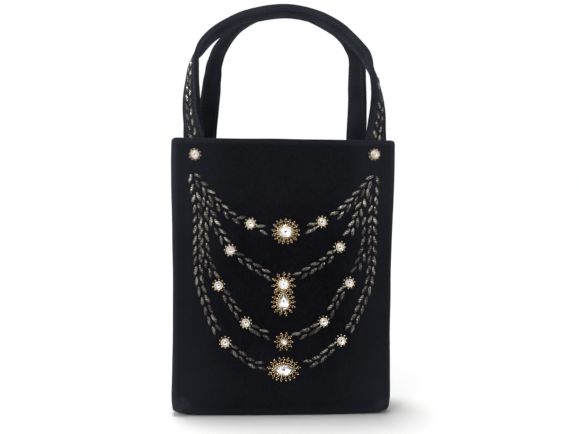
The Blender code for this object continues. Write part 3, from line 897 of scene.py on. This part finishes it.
# Places on the panel in millimetres, or the name of the stone that the vine runs to
SWAGS = {
    "swag_1_left": [(-71.3, 192.8), (-61.4, 181.2), (-51.2, 169.8), (-40.5, 160.6), "rosette_03",
                    (-18.0, 150.8), "oval"],
    "swag_1_right": [(71.6, 192.8), (61.6, 181.4), (51.8, 171.2), (41.4, 161.9), "rosette_04",
                     (19.0, 151.3), "oval"],
    "swag_4_left": [(-72.2, 192.0), (-69.6, 176.0), (-68.2, 160.0), (-68.0, 134.0),
                    (-66.4, 108.7), (-61.6, 92.5), (-55.4, 75.5), "rosette_11", (-35.0, 51.6),
                    (-24.0, 43.6), "marquise"],
    "swag_4_right": [(73.0, 192.0), (72.0, 176.0), (71.4, 160.0), (71.1, 128.0),
                     (69.4, 108.9), (63.9, 92.4), (56.8, 76.1), "rosette_12", (36.7, 53.0),
                     (25.5, 44.6), "marquise"],
    "swag_2_left": [(-66.6, 187.0), (-62.6, 176.0), (-59.0, 165.5), (-54.7, 155.3),
                    (-48.3, 144.1), "rosette_05", (-33.0, 127.3), (-21.3, 119.9), "round"],
    "swag_2_right": [(67.4, 187.0), (63.2, 174.6), (59.0, 161.6), (52.6, 148.4), "rosette_06",
                     (34.7, 127.3), (22.6, 119.6), "round"],
    "swag_3_left": [(-63.6, 163.0), (-63.0, 146.0), (-61.4, 129.5), (-56.9, 118.4),
                    "rosette_07", (-44.0, 95.8), (-37.0, 85.6), "rosette_09", (-20.5, 70.2),
                    "flower"],
    "swag_3_right": [(66.4, 160.0), (66.2, 145.0), (63.2, 130.2), (58.3, 118.4), "rosette_08",
                     (45.8, 99.0), (39.8, 87.8), "rosette_10", (22.5, 70.0), "flower"],
}


def stone_middle(name):
    """The middle of a stone on the panel, as x and z."""
    low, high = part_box(f"{name}_crystal")
    return np.array([(low.x + high.x) / 2, (low.z + high.z) / 2])


def smooth_route(points):
    """Close points on a smooth curve through a route's own points."""
    marks = marks_along(points)
    rows = np.column_stack([marks, points])
    return np.array([eased(rows, mark)[1:] for mark in np.arange(0, marks[-1], ROUTE_STEP)])


def point_at(mark, marks, line):
    """The point of a line on the panel at a length from its start."""
    return np.array([np.interp(mark, marks, line[:, axis]) for axis in (0, 1)])


def beside(route, starts, offset):
    """Places every leaf step along each stretch of a route, to one side, with the way ahead."""
    marks = marks_along(route)
    places = []
    for start, end in zip(starts, [*starts[1:], marks[-1]]):
        mark = start
        while mark < end - LEAF_ROOM:
            here, later = (point_at(m, marks, route) for m in (mark, mark + LOOK_AHEAD))
            ahead = (later - here) / np.linalg.norm(later - here)
            places.append((here + offset * np.array([-ahead[1], ahead[0]]), ahead))
            mark += LEAF_STEP * RANDOM.uniform(0.97, 1.03)
    return places


def cup_outline(name):
    """The outline of a stone's cup on the panel, anticlockwise as x and z."""
    spots = [Vector((v.co.x, v.co.z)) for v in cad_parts[f"{name}_setting"].data.vertices]
    return np.array([spots[i] for i in geometry.convex_hull_2d(spots)])


ROSETTES = [f"rosette_{number:02d}" for number in range(1, 13)]
OUTLINES = {name: cup_outline(name) for name in [*CENTRE_NAMES, *ROSETTES]}


def clear_of_stones(place):
    """Whether a leaf at a place stays clear of every stone and the beads round it."""
    rosettes = min(np.linalg.norm(stone_middle(name) - place) for name in ROSETTES)
    centres = min(np.linalg.norm(OUTLINES[name] - place, axis=1).min() for name in CENTRE_NAMES)
    return rosettes > ROSETTE_CLEAR and centres > CENTRE_CLEAR


def turned(ahead, angle):
    """A direction on the panel turned anticlockwise by an angle."""
    c, s = math.cos(angle), math.sin(angle)
    return (c * ahead[0] - s * ahead[1], s * ahead[0] + c * ahead[1])


print("vines:", len(SWAGS), "round", len(OUTLINES), "stones")

# %% Sewing the vines
taken = []
for name, entries in SWAGS.items():
    route = smooth_route([stone_middle(e) if isinstance(e, str) else np.array(e) * MM
                          for e in entries])
    marks = marks_along(route)
    stones = [marks[np.linalg.norm(route - stone_middle(e), axis=1).argmin()]
              for e in entries if isinstance(e, str) and e in ROSETTES]
    upper = 1 if "left" in name else -1
    places = []
    first = OUTER_STARTS if "swag_4" in name else ROW_STARTS
    for row, sign in enumerate((upper, -upper)):
        starts = [first[row], *(mark + AFTER_STONE[row] for mark in stones)]
        for place, ahead in beside(route, starts, sign * LEAF_OFFSET):
            crowded = any(np.linalg.norm(place - other) < LEAF_APART for other in taken)
            if crowded or not clear_of_stones(place):
                continue
            taken.append(place)
            flare = FLARE_LOW + (FLARE_TOP - FLARE_LOW) * ramp(place[1], *FLARE_FROM)
            along = turned(ahead, sign * flare * RANDOM.uniform(0.5, 1.5))
            spot, normal = on_panel(*place)
            size = (RANDOM.uniform(0.92, 1.05), sign * RANDOM.uniform(0.88, 1.08), 1.0)
            places.append(seat(spot, normal, (along[0], 0.0, along[1]), 0.0, size))
    dress(stamp(leaf, name, places), THREAD)

print("leaves on the panel:", len(taken))

# %% [markdown]
# ## Leaves up the front strap
#
# The same vine climbs each leg of the front strap and ends where the strap turns over. It is
# sewn on the outer face, so its places come from the strap's own line: so far along, so far
# across, and down onto the skin.

# %% Sewing the strap's vines
STRAP_LEAF_STEP = 7.6 * MM
STRAP_LEAF_OFFSET = 2.3 * MM
STRAP_LEAF_FLARE = math.radians(16)
VINE_FROM = 17 * MM
VINE_TOPS = {"left": 284 * MM, "right": 270 * MM}
STRAP_LEAF_SIZE = (0.86, 0.86, 0.9)
ABOVE_STRAP = 9 * MM


def strap_vine(name, line, tree, from_right, top):
    """Leaves in two rows from the mouth up one leg of a strap, as high as a given height."""
    places = []
    for row, sign in enumerate((1, -1)):
        climbed = VINE_FROM + row * STRAP_LEAF_STEP / 2
        while True:
            mark = line.length - climbed if from_right else climbed
            middle, width, face = line.at(mark)
            if middle[2] > top:
                break
            ahead = np.cross(width, face)
            ahead = ahead if ahead[2] > 0 else -ahead
            along = ahead + sign * math.tan(STRAP_LEAF_FLARE) * width
            start = Vector(middle + width * sign * STRAP_LEAF_OFFSET + face * ABOVE_STRAP)
            spot, normal, _, _ = tree.ray_cast(start, Vector(-face))
            long, wide, high = STRAP_LEAF_SIZE
            size = (long * RANDOM.uniform(0.92, 1.05), wide * RANDOM.uniform(0.9, 1.05), high)
            places.append(seat(spot, normal, along, 0.0, size))
            climbed += STRAP_LEAF_STEP * RANDOM.uniform(0.96, 1.04)
    return dress(stamp(leaf, name, places), THREAD)


front_tree = tree_of(bpy.data.objects["strap_front"])
strap_vine("strap_vine_left", lines["front"], front_tree, False, VINE_TOPS["left"])
strap_vine("strap_vine_right", lines["front"], front_tree, True, VINE_TOPS["right"])

# %% [markdown]
# ## Edge stitching
#
# Black polyester thread lies in the channels along both edges of the straps, on both faces. It
# is a twisted thread under half a millimetre thick, a little shinier than the velvet round it.
# One stitch is a short rod, drawn in at its ends where it dives into the cloth.

# %% Stitches along the straps
STITCH_THICK = 0.42 * MM
STITCH_DIVE, STITCH_END, STITCH_THIN, STITCH_SINK = 0.3, 0.4, 0.6, 0.8


def stitch_material():
    """Black polyester sewing thread, twisted and slightly shiny."""
    material, tree, shader = start_material("polyester_thread_black", {
        "Roughness": 0.45,
        "Specular IOR Level": 0.5,
    })
    place = add_node(tree, "ShaderNodeTexCoord").outputs["Object"]
    twist = add_node(tree, "ShaderNodeTexWave", {"bands_direction": "DIAGONAL"},
                     {"Scale": per_mm(3.0), "Distortion": 0.4}, {"Vector": place})
    shade = add_node(tree, "ShaderNodeMix", COLOURS,
                     {FIRST: srgb("0E0F13"), SECOND: srgb("2A2C35")}, {SHARE: twist.outputs["Fac"]})
    tree.links.new(shade.outputs[MIXED], shader.inputs["Base Color"])
    return material


def model_stitch():
    """A rod along X that dives down at both ends."""
    rod = add_primitive("stitch", bpy.ops.mesh.primitive_cylinder_add, vertices=6,
                        radius=STITCH_THICK / 2, depth=STITCH_LONG, rotation=(0, math.pi / 2, 0))
    bpy.ops.object.transform_apply(location=True, rotation=True, scale=True)
    bpy.ops.object.mode_set(mode="EDIT")
    for share in (STITCH_DIVE, -STITCH_DIVE):
        bpy.ops.mesh.select_all(action="SELECT")
        bpy.ops.mesh.bisect(plane_co=(STITCH_LONG * share, 0, 0), plane_no=(1, 0, 0))
    bpy.ops.object.mode_set(mode="OBJECT")
    for vertex in rod.data.vertices:
        if abs(vertex.co.x) > STITCH_LONG * STITCH_END:
            vertex.co.z = vertex.co.z * STITCH_THIN - STITCH_THICK * STITCH_SINK
            vertex.co.y *= STITCH_THIN
    return rod


POLYESTER = stitch_material()
stitch = model_stitch()
for side, line in lines.items():
    tree = tree_of(bpy.data.objects[f"strap_{side}"])
    places = []
    for face_sign in (1, -1):
        for across in (-STITCH_LINE, STITCH_LINE):
            for i in range(int(line.length / STITCH_EVERY) - 1):
                middle, width, face = line.at((i + 0.5) * STITCH_EVERY)
                start = Vector(middle + width * across + face * face_sign * ABOVE_STRAP)
                spot, normal, _, _ = tree.ray_cast(start, Vector(-face_sign * face))
                ahead = np.cross(width, face)
                places.append(seat(spot, normal, ahead, STITCH_THICK * 0.15))
    dress(stamp(stitch, f"stitching_{side}", places), POLYESTER)

# %% [markdown]
# ## Gold seed beads
#
# The stones are ringed with metallic seed beads just over a millimetre across: short rounded
# tubes of glass with a gold coat, strung so that their holes lie along the thread. A small torus
# is added, stretched along its hole so that it reads as a bead and not as a ring, and turned so
# that its hole runs along X.

# %% The bead and its gold
BEAD_STRETCH = 1.9


def gold_material(name, colours, roughness, grain):
    """Gold with a slight patina: duller and browner in patches, with a tone for each bead."""
    material, tree, shader = start_material(name, {"Metallic": 1.0})
    place = add_node(tree, "ShaderNodeTexCoord").outputs["Object"]
    tone = add_node(tree, "ShaderNodeAttribute", {"attribute_name": "tone"}).outputs["Fac"]
    blotch = add_node(tree, "ShaderNodeTexNoise", values={"Scale": per_mm(grain), "Detail": 3.0},
                      links={"Vector": place})
    drift = add_node(tree, "ShaderNodeMath", {"operation": "MULTIPLY_ADD", "use_clamp": True},
                     {1: 0.7, 2: -0.05}, {0: blotch.outputs["Fac"]})
    mixed = add_node(tree, "ShaderNodeMath", {"operation": "MULTIPLY_ADD", "use_clamp": True},
                     {1: 0.5}, {0: tone, 2: drift.outputs[0]})
    colour = add_node(tree, "ShaderNodeMix", COLOURS,
                      {FIRST: srgb(colours[0]), SECOND: srgb(colours[1])},
                      {SHARE: mixed.outputs[0]})
    tree.links.new(colour.outputs[MIXED], shader.inputs["Base Color"])
    gloss = add_node(tree, "ShaderNodeMapRange", values={
        "To Min": roughness + 0.12, "To Max": roughness,
    }, links={"Value": blotch.outputs["Fac"]})
    tree.links.new(gloss.outputs[0], shader.inputs["Roughness"])
    scratch = add_node(tree, "ShaderNodeTexNoise", values={"Scale": per_mm(0.35)},
                       links={"Vector": place})
    bump = add_node(tree, "ShaderNodeBump", values={"Strength": 0.15, "Distance": 0.05 * MM},
                    links={"Height": scratch.outputs["Fac"]})
    tree.links.new(bump.outputs[0], shader.inputs["Normal"])
    return material


def model_bead():
    """A bead one millimetre across, with its hole along X."""
    bead = add_primitive("bead", bpy.ops.mesh.primitive_torus_add, major_segments=8,
                         minor_segments=5, major_radius=0.29 * MM, minor_radius=0.21 * MM)
    edit(bead)
    bpy.ops.transform.resize(value=(1, 1, BEAD_STRETCH))
    bpy.ops.transform.rotate(value=math.pi / 2, orient_axis="Y", center_override=(0, 0, 0))
    bpy.ops.object.mode_set(mode="OBJECT")
    return bead


BEAD_GOLD = gold_material("gold_coated_glass", ("7A5931", "F6DDB0"), 0.12, 0.9)
PALE_GOLD = gold_material("pale_gold_coated_glass", ("B89768", "FFF3DC"), 0.15, 0.9)
CUP_GOLD = gold_material("gold_plated_brass", ("CBAC7C", "FFF0D8"), 0.2, 2.0)
bead = model_bead()
print("faces on a bead:", len(bead.data.polygons))

# %% [markdown]
# ## Sunbursts and rosettes
#
# Each small stone wears a milled edge of tiny beads on its cup's lip, and ten single beads stand
# outside that. Each large stone wears a rope of beads close to its cup, and from it little picots
# of four beads stand out like rays: one on the stem, two side by side, one at the tip. The round
# stone and the pear below it share one sunburst. The rope follows the cup's own outline, grown by
# the bead's size, so it fits a marquise as well as a circle. Nothing is quite even, because it is
# sewn by hand.

# %% Lines of beads round a stone
ROPE_BEAD, RAY_BEAD, TIP_BEAD = 1.25 * MM, 0.95 * MM, 1.08 * MM
BEAD_LIFT, BEAD_ASTRAY = 0.4, 0.07 * MM
RAY_APART, RAY_STEM, RAY_PAIR = 0.72 * MM, 0.16, 0.52
EVEN_POINTS, SMOOTHED_OVER = 120, 3
NEARBY = 0.02


def closed(outline):
    """A closed outline with its first point again at its end, and the length at each point."""
    ring = np.vstack([outline, outline[:1]])
    return ring, marks_along(ring)


def grown(outline, by):
    """A closed outline moved outwards by a distance, as evenly spaced close points."""
    ring, marks = closed(outline)
    points = np.array([point_at(mark, marks, ring)
                       for mark in np.linspace(0, marks[-1], EVEN_POINTS + 1)[:-1]])
    shifts = range(-SMOOTHED_OVER, SMOOTHED_OVER + 1)
    smooth = sum(np.roll(points, shift, 0) for shift in shifts) / len(shifts)
    ahead = np.roll(smooth, -1, 0) - np.roll(smooth, 1, 0)
    ahead /= np.linalg.norm(ahead, axis=1)[:, None]
    return points + by * np.column_stack([ahead[:, 1], -ahead[:, 0]])


def spaced(outline, count, start=0.0):
    """A number of even places on a closed outline, each with the way out of it."""
    ring, marks = closed(outline)
    found = []
    for i in range(count):
        share = (i + start) / count % 1.0
        later, sooner = (point_at(marks[-1] * ((share + step) % 1.0), marks, ring)
                         for step in (NEARBY, -NEARBY))
        ahead = (later - sooner) / np.linalg.norm(later - sooner)
        found.append((point_at(marks[-1] * share, marks, ring), np.array([ahead[1], -ahead[0]])))
    return found


def length_of(outline):
    """The length round a closed outline."""
    return np.linalg.norm(outline - np.roll(outline, 1, 0), axis=1).sum()


def lay_bead(place, along, size, lift=0.0):
    """A bead on the velvet or lifted off it, with its hole along a way on the panel."""
    jitter = np.array([RANDOM.uniform(-1, 1), RANDOM.uniform(-1, 1)]) * BEAD_ASTRAY
    spot, normal = on_panel(*(place + jitter))
    across = size / MM * RANDOM.uniform(0.93, 1.07)
    return seat(spot, normal, (along[0], 0.0, along[1]), BEAD_LIFT * size + lift, (across,) * 3)


def rope(outline, size, count, lift=0.0):
    """A closed rope of beads whose middles lie on an outline."""
    return [lay_bead(here, turned(out, math.pi / 2), size, lift)
            for here, out in spaced(outline, count)]


def ray(here, out, reach):
    """Four beads that stand out from a rope like a ray: stem, pair and tip."""
    out = np.array(turned(out, RANDOM.uniform(-0.12, 0.12)))
    side = np.array(turned(out, math.pi / 2))
    reach = reach * RANDOM.uniform(0.93, 1.06)
    apart = side * RAY_APART * RANDOM.uniform(0.9, 1.15)
    twist = RANDOM.uniform(-0.4, 0.4)
    pair = here + out * RAY_PAIR * reach
    return [
        lay_bead(here + out * RAY_STEM * reach, out, RAY_BEAD),
        lay_bead(pair + apart, turned(out, 0.5 + twist), RAY_BEAD),
        lay_bead(pair - apart, turned(out, -0.5 + twist), RAY_BEAD),
        lay_bead(here + out * reach, turned(out, math.pi / 2), TIP_BEAD),
    ]


print("length round the oval's cup:", round(length_of(OUTLINES["oval"]) / MM, 1), "mm")

# %% Beading the rosettes
LIP_BEAD, LIP_BEADS, LIP_HEIGHT, LIP_INSET = 0.72 * MM, 24, 1.75 * MM, 0.12 * MM
OUTER_BEADS, OUTER_GAP = 10, 1.2 * MM

for name in ROSETTES:
    outline = OUTLINES[name]
    places = rope(grown(outline, -LIP_INSET), LIP_BEAD, LIP_BEADS, LIP_HEIGHT)
    start = RANDOM.random()
    places += [lay_bead(here, out, RAY_BEAD)
               for here, out in spaced(grown(outline, OUTER_GAP), OUTER_BEADS, start)]
    dress(stamp(bead, f"{name}_beads", places), PALE_GOLD)

# %% Beading the large stones
RAY_REACH, ROPE_GAP, ROPE_PITCH = 3.3 * MM, 0.15 * MM, 1.42
RAY_ROOT, RAY_TRIED = 1.15, 0.6
ROPE_CLEAR, RAY_CLEAR = ROPE_BEAD * 0.9, RAY_REACH * 0.75

# The stones of each sunburst, with the number of rays round each
BURSTS = {
    "oval": {"oval": 17}, "round_and_pear": {"round": 11, "pear": 15},
    "flower": {"flower": 10}, "marquise": {"marquise": 17},
}


def inside(point, outline):
    """Whether a point lies inside a convex outline that runs anticlockwise."""
    ahead = np.roll(outline, -1, 0) - outline
    back = point - outline
    return bool(np.all(ahead[:, 0] * back[:, 1] - ahead[:, 1] * back[:, 0] > 0))


for name, rays in BURSTS.items():
    size = RAY_BEAD if name == "flower" else ROPE_BEAD
    places, roots = [], []
    for stone, ray_count in rays.items():
        others = [OUTLINES[other] for other in rays if other != stone]
        near = [grown(other, ROPE_CLEAR) for other in others]
        far = [grown(other, RAY_CLEAR) for other in others]
        middle = grown(OUTLINES[stone], ROPE_GAP + size / 2)
        foot = grown(OUTLINES[stone], ROPE_GAP + size * RAY_ROOT)
        for here, out in spaced(middle, round(length_of(middle) / (size * ROPE_PITCH))):
            if not any(inside(here, other) for other in near):
                places.append(lay_bead(here, turned(out, math.pi / 2), size))
        for here, out in spaced(foot, ray_count, 0.5):
            if not any(inside(here + out * RAY_REACH * RAY_TRIED, other) for other in far):
                roots.append((here, out))
    for here, out in roots:
        places += ray(here, out, RAY_REACH)
    dress(stamp(bead, f"{name}_sunburst", places), BEAD_GOLD)

# %% [markdown]
# ## Claws
#
# Four small claws hold each large stone in its cup. They are cut from the cup's edge and bent in
# over the stone, so each is a rounded tongue that points at the stone's middle. An icosphere is
# added, stretched along X and narrowed towards its inner end.

# %% Claws on the large stones
CLAW_LONG, CLAW_WIDE, CLAW_HIGH = 1.25 * MM, 0.62 * MM, 0.42 * MM
CLAW_TAPER, CLAW_DROOP, CLAW_INSET = 0.7, 0.35, 0.8 * MM
FIRST_CLAW, CLAW_ASTRAY = 42, 6


def model_claw():
    """A rounded tongue that points along X, narrower and lower at its tip."""
    claw = add_primitive("claw", bpy.ops.mesh.primitive_ico_sphere_add, subdivisions=2, radius=0.5)
    for vertex in claw.data.vertices:
        x, y, z = vertex.co
        vertex.co = (x * CLAW_LONG, y * CLAW_WIDE * (0.9 - CLAW_TAPER * x),
                     (z - CLAW_DROOP * x) * CLAW_HIGH)
    return claw


def claw_place(outline, quarter, lip):
    """Where a claw bends over a stone's edge, pointing at the stone's middle."""
    middle = (outline.min(0) + outline.max(0)) / 2
    reach = (outline.max(0) - outline.min(0)) / 2
    aim = reach * (math.cos(quarter), math.sin(quarter))
    edge = outline[((outline - middle - aim) ** 2).sum(1).argmin()]
    ahead = (middle - edge) / np.linalg.norm(middle - edge)
    spot, normal = on_panel(*(edge + ahead * CLAW_INSET))
    return seat(spot, normal, (ahead[0], 0.0, ahead[1]), lip)


claw = model_claw()
for name in ("oval", "round", "pear", "marquise"):
    outline = grown(OUTLINES[name], 0.0)
    lip = on_panel(*stone_middle(name))[0].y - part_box(f"{name}_setting")[0].y
    turns = [FIRST_CLAW + 90 * i + RANDOM.uniform(-CLAW_ASTRAY, CLAW_ASTRAY) for i in range(4)]
    places = [claw_place(outline, math.radians(turn), lip) for turn in turns]
    dress(stamp(claw, f"{name}_claws", places), CUP_GOLD)

# %% [markdown]
# ## Gold cups and cut crystals
#
# The cups and stones are rigid, and their solids already have the right shape, so they stay and
# only get better materials. A real rhinestone is lead glass over a foil: light goes in, meets the
# mirror at the back and comes out of another facet. So the glass is clear, and a thin silver foil
# is laid under each stone, cut from a copy of the stone's own back. The foil is painted black at
# the point, a painted dark reflection that gives each stone its small dark eye.

# %% Glass, foil and gold on the solids
def glass_material():
    """Cut lead glass: clear, heavy and polished."""
    return start_material("cut_lead_glass", {
        "Base Color": srgb("FDFDFC"),
        "Roughness": 0.02,
        "IOR": 1.56,
        "Transmission Weight": 1.0,
    })[0]


def foil_material():
    """The silvered back of a rhinestone, slightly uneven, and painted black near the point as a
    painted dark reflection.
    """
    material, tree, shader = start_material("silver_foil_backing", {
        "Metallic": 1.0,
        "Roughness": 0.24,
    })
    place = add_node(tree, "ShaderNodeTexCoord").outputs["Object"]
    cloud = add_node(tree, "ShaderNodeTexNoise", values={"Scale": per_mm(1.5)},
                     links={"Vector": place})
    shade = add_node(tree, "ShaderNodeMix", COLOURS,
                     {FIRST: srgb("EDEEF0"), SECOND: srgb("FFFFFF")}, {SHARE: cloud.outputs["Fac"]})
    # Painted reflection: near the point the foil's colour is mixed to near black.
    share = add_node(tree, "ShaderNodeAttribute", {"attribute_name": "share"}).outputs["Fac"]
    whole = add_node(tree, "ShaderNodeMapRange", values={"From Min": 0.55, "From Max": 1.0},
                     links={"Value": share})
    painted_eye = add_node(tree, "ShaderNodeMix", COLOURS, {FIRST: srgb("17181C")},
                    {SHARE: whole.outputs[0], SECOND: shade.outputs[MIXED]})
    tree.links.new(painted_eye.outputs[MIXED], shader.inputs["Base Color"])
    return material


# The share of the stone's back that the foil covers, and how far up it the painted dark eye reaches
# on small and large stones
FOIL_TOP, FOIL_EYE_SMALL, FOIL_EYE_LARGE = 0.53, 0.14, 0.07
FOIL_GAP, FOIL_THICK = 0.06 * MM, 0.06 * MM


def lay_foil(name):
    """A thin silver sheet round the back of a stone, painted black at the point as a painted dark
    reflection.
    """
    foil = add_object(f"{name}_foil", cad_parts[f"{name}_crystal"].data.copy())
    pick(foil)
    out = on_panel(*stone_middle(name))[1].normalized()
    heights = [out.dot(vertex.co) for vertex in foil.data.vertices]
    low, high = min(heights), max(heights)
    bpy.ops.object.mode_set(mode="EDIT")
    painted_eye = FOIL_EYE_SMALL if "rosette" in name else FOIL_EYE_LARGE
    for share, top in ((FOIL_TOP, True), (painted_eye, False)):
        bpy.ops.mesh.select_all(action="SELECT")
        bpy.ops.mesh.remove_doubles(threshold=SAME_POINT)
        bpy.ops.mesh.bisect(plane_co=out * (low + (high - low) * share), plane_no=out,
                            clear_outer=top)
    bpy.ops.object.mode_set(mode="OBJECT")
    normals = [vertex.normal.copy() for vertex in foil.data.vertices]
    shares = foil.data.attributes.new("share", "FLOAT", "POINT")
    for vertex, normal in zip(foil.data.vertices, normals):
        shares.data[vertex.index].value = (out.dot(vertex.co) - low) / (high - low) / painted_eye
        vertex.co += normal * FOIL_GAP
    wall = foil.modifiers.new("wall", "SOLIDIFY")
    wall.thickness, wall.offset = FOIL_THICK, 1.0
    bpy.ops.object.modifier_apply(modifier="wall")
    return dress(foil, FOIL, smooth=False)


GLASS, FOIL = glass_material(), foil_material()
for name in [*CENTRE_NAMES, *ROSETTES]:
    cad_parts[f"{name}_setting"].material_slots[0].material = CUP_GOLD
    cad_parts[f"{name}_crystal"].material_slots[0].material = GLASS
    lay_foil(name)
print("cups and stones dressed:", 2 * len(OUTLINES))

# %% [markdown]
# ## Floor and light
#
# The bag stands on a pale floor that is large enough to fade into the white world behind it. A
# broad sun, high and a little behind the bag, drops a short soft shade in front of it. The world
# is a dim dome with a brighter window far on the left, which draws the pale line down the left
# edge. Velvet drinks light and polished things mirror it, so a photographer sets white cards that
# only the jewels can see. Here a bright card high behind the camera is there for mirrored rays
# alone, and rays that come out of glass see an even white. A small lamp gives the gold its sharp
# lights.

# %% The floor
FLOOR_SIZE, FLOOR_CLOUDS = 12.0, 3.0

floor = add_primitive("studio_floor", bpy.ops.mesh.primitive_plane_add, size=FLOOR_SIZE)
paint, tree, shader = start_material("matt_floor_paint", {"Roughness": 0.85})
cloud = add_node(tree, "ShaderNodeTexNoise", values={"Scale": FLOOR_CLOUDS},
                 links={"Vector": add_node(tree, "ShaderNodeTexCoord").outputs["Object"]})
shade = add_node(tree, "ShaderNodeMix", COLOURS, {FIRST: srgb("E4E4E3"), SECOND: srgb("E9E9E8")},
                 {SHARE: cloud.outputs["Fac"]})
tree.links.new(shade.outputs[MIXED], shader.inputs["Base Color"])
floor.data.materials.append(paint)
print("floor of", FLOOR_SIZE, "metres")

# %% The world's dome, window and cards
LOW_DOME, HIGH_DOME = (0.34, 0.34, 0.36, 1.0), (0.46, 0.46, 0.46, 1.0)
WINDOW, CARD = (1.5, 1.5, 1.55, 1.0), (5.0, 4.9, 4.7, 1.0)
THROUGH_GLASS, SEEN_WHITE = (1.15, 1.14, 1.12, 1.0), (1.0, 1.0, 1.0, 1.0)
CARD_TOWARD = (-0.37, -0.76, 0.53)

world = bpy.data.worlds.new("studio")
world.use_nodes = True
bpy.context.scene.world = world
sky = world.node_tree
around = add_node(sky, "ShaderNodeTexCoord").outputs["Generated"]
facing = add_node(sky, "ShaderNodeSeparateXYZ", links={0: around})
height = add_node(sky, "ShaderNodeMapRange", EASED, {"From Min": 0.05, "From Max": 0.75},
                  {"Value": facing.outputs["Z"]})
behind = add_node(sky, "ShaderNodeMapRange", EASED, {"From Min": -0.6, "From Max": 0.3},
                  {"Value": facing.outputs["Y"]})
lit = add_node(sky, "ShaderNodeMath", {"operation": "MAXIMUM"},
               links={0: height.outputs[0], 1: behind.outputs[0]})
aside = add_node(sky, "ShaderNodeMapRange", EASED,
                 {"From Min": -0.95, "From Max": -0.25, "To Min": 1.0, "To Max": 0.0},
                 {"Value": facing.outputs["X"]})
toward = add_node(sky, "ShaderNodeVectorMath", {"operation": "DOT_PRODUCT"}, {1: CARD_TOWARD},
                  {0: around})
card = add_node(sky, "ShaderNodeMapRange", EASED, {"From Min": 0.86, "From Max": 0.94},
                {"Value": toward.outputs["Value"]})
path = add_node(sky, "ShaderNodeLightPath")
mirrored = add_node(sky, "ShaderNodeMath", MULTIPLY,
                    links={0: card.outputs[0], 1: path.outputs["Is Glossy Ray"]})
shown = add_node(sky, "ShaderNodeMix", COLOURS, {FIRST: LOW_DOME, SECOND: HIGH_DOME},
                 {SHARE: lit.outputs[0]})
for colour, share in ((WINDOW, aside.outputs[0]), (CARD, mirrored.outputs[0]),
                      (THROUGH_GLASS, path.outputs["Is Transmission Ray"]),
                      (SEEN_WHITE, path.outputs["Is Camera Ray"])):
    shown = add_node(sky, "ShaderNodeMix", COLOURS, {SECOND: colour},
                     {SHARE: share, FIRST: shown.outputs[MIXED]})
sky.links.new(shown.outputs[MIXED], sky.nodes["Background"].inputs["Color"])
bpy.context.scene.view_settings.view_transform = "Standard"
print("nodes in the world:", len(sky.nodes))


# %% The lamps
def add_lamp(name, kind, place, target, power):
    """A lamp at a place, aimed at a target."""
    bulb = bpy.data.lights.new(name, kind)
    bulb.energy = power
    lamp = add_object(name, bulb)
    lamp.location = place
    lamp.rotation_euler = (Vector(target) - Vector(place)).to_track_quat("-Z", "Y").to_euler()
    return bulb


overhead = add_lamp("overhead", "SUN", place=(-0.08, 0.12, 1.2), target=(0, 0, 0.1), power=2.3)
overhead.angle = math.radians(16)
key = add_lamp("key", "AREA", place=(-0.5, -0.9, 0.75), target=(0, 0, 0.15), power=3.5)
key.size = 0.35
print("lamps:", overhead.name, "and", key.name)

# %% [markdown]
# ## Clearing up
#
# The patterns for the stamped shapes are taken away.

# %% Finish
for template in (leaf, stitch, bead, claw):
    bpy.data.objects.remove(template)
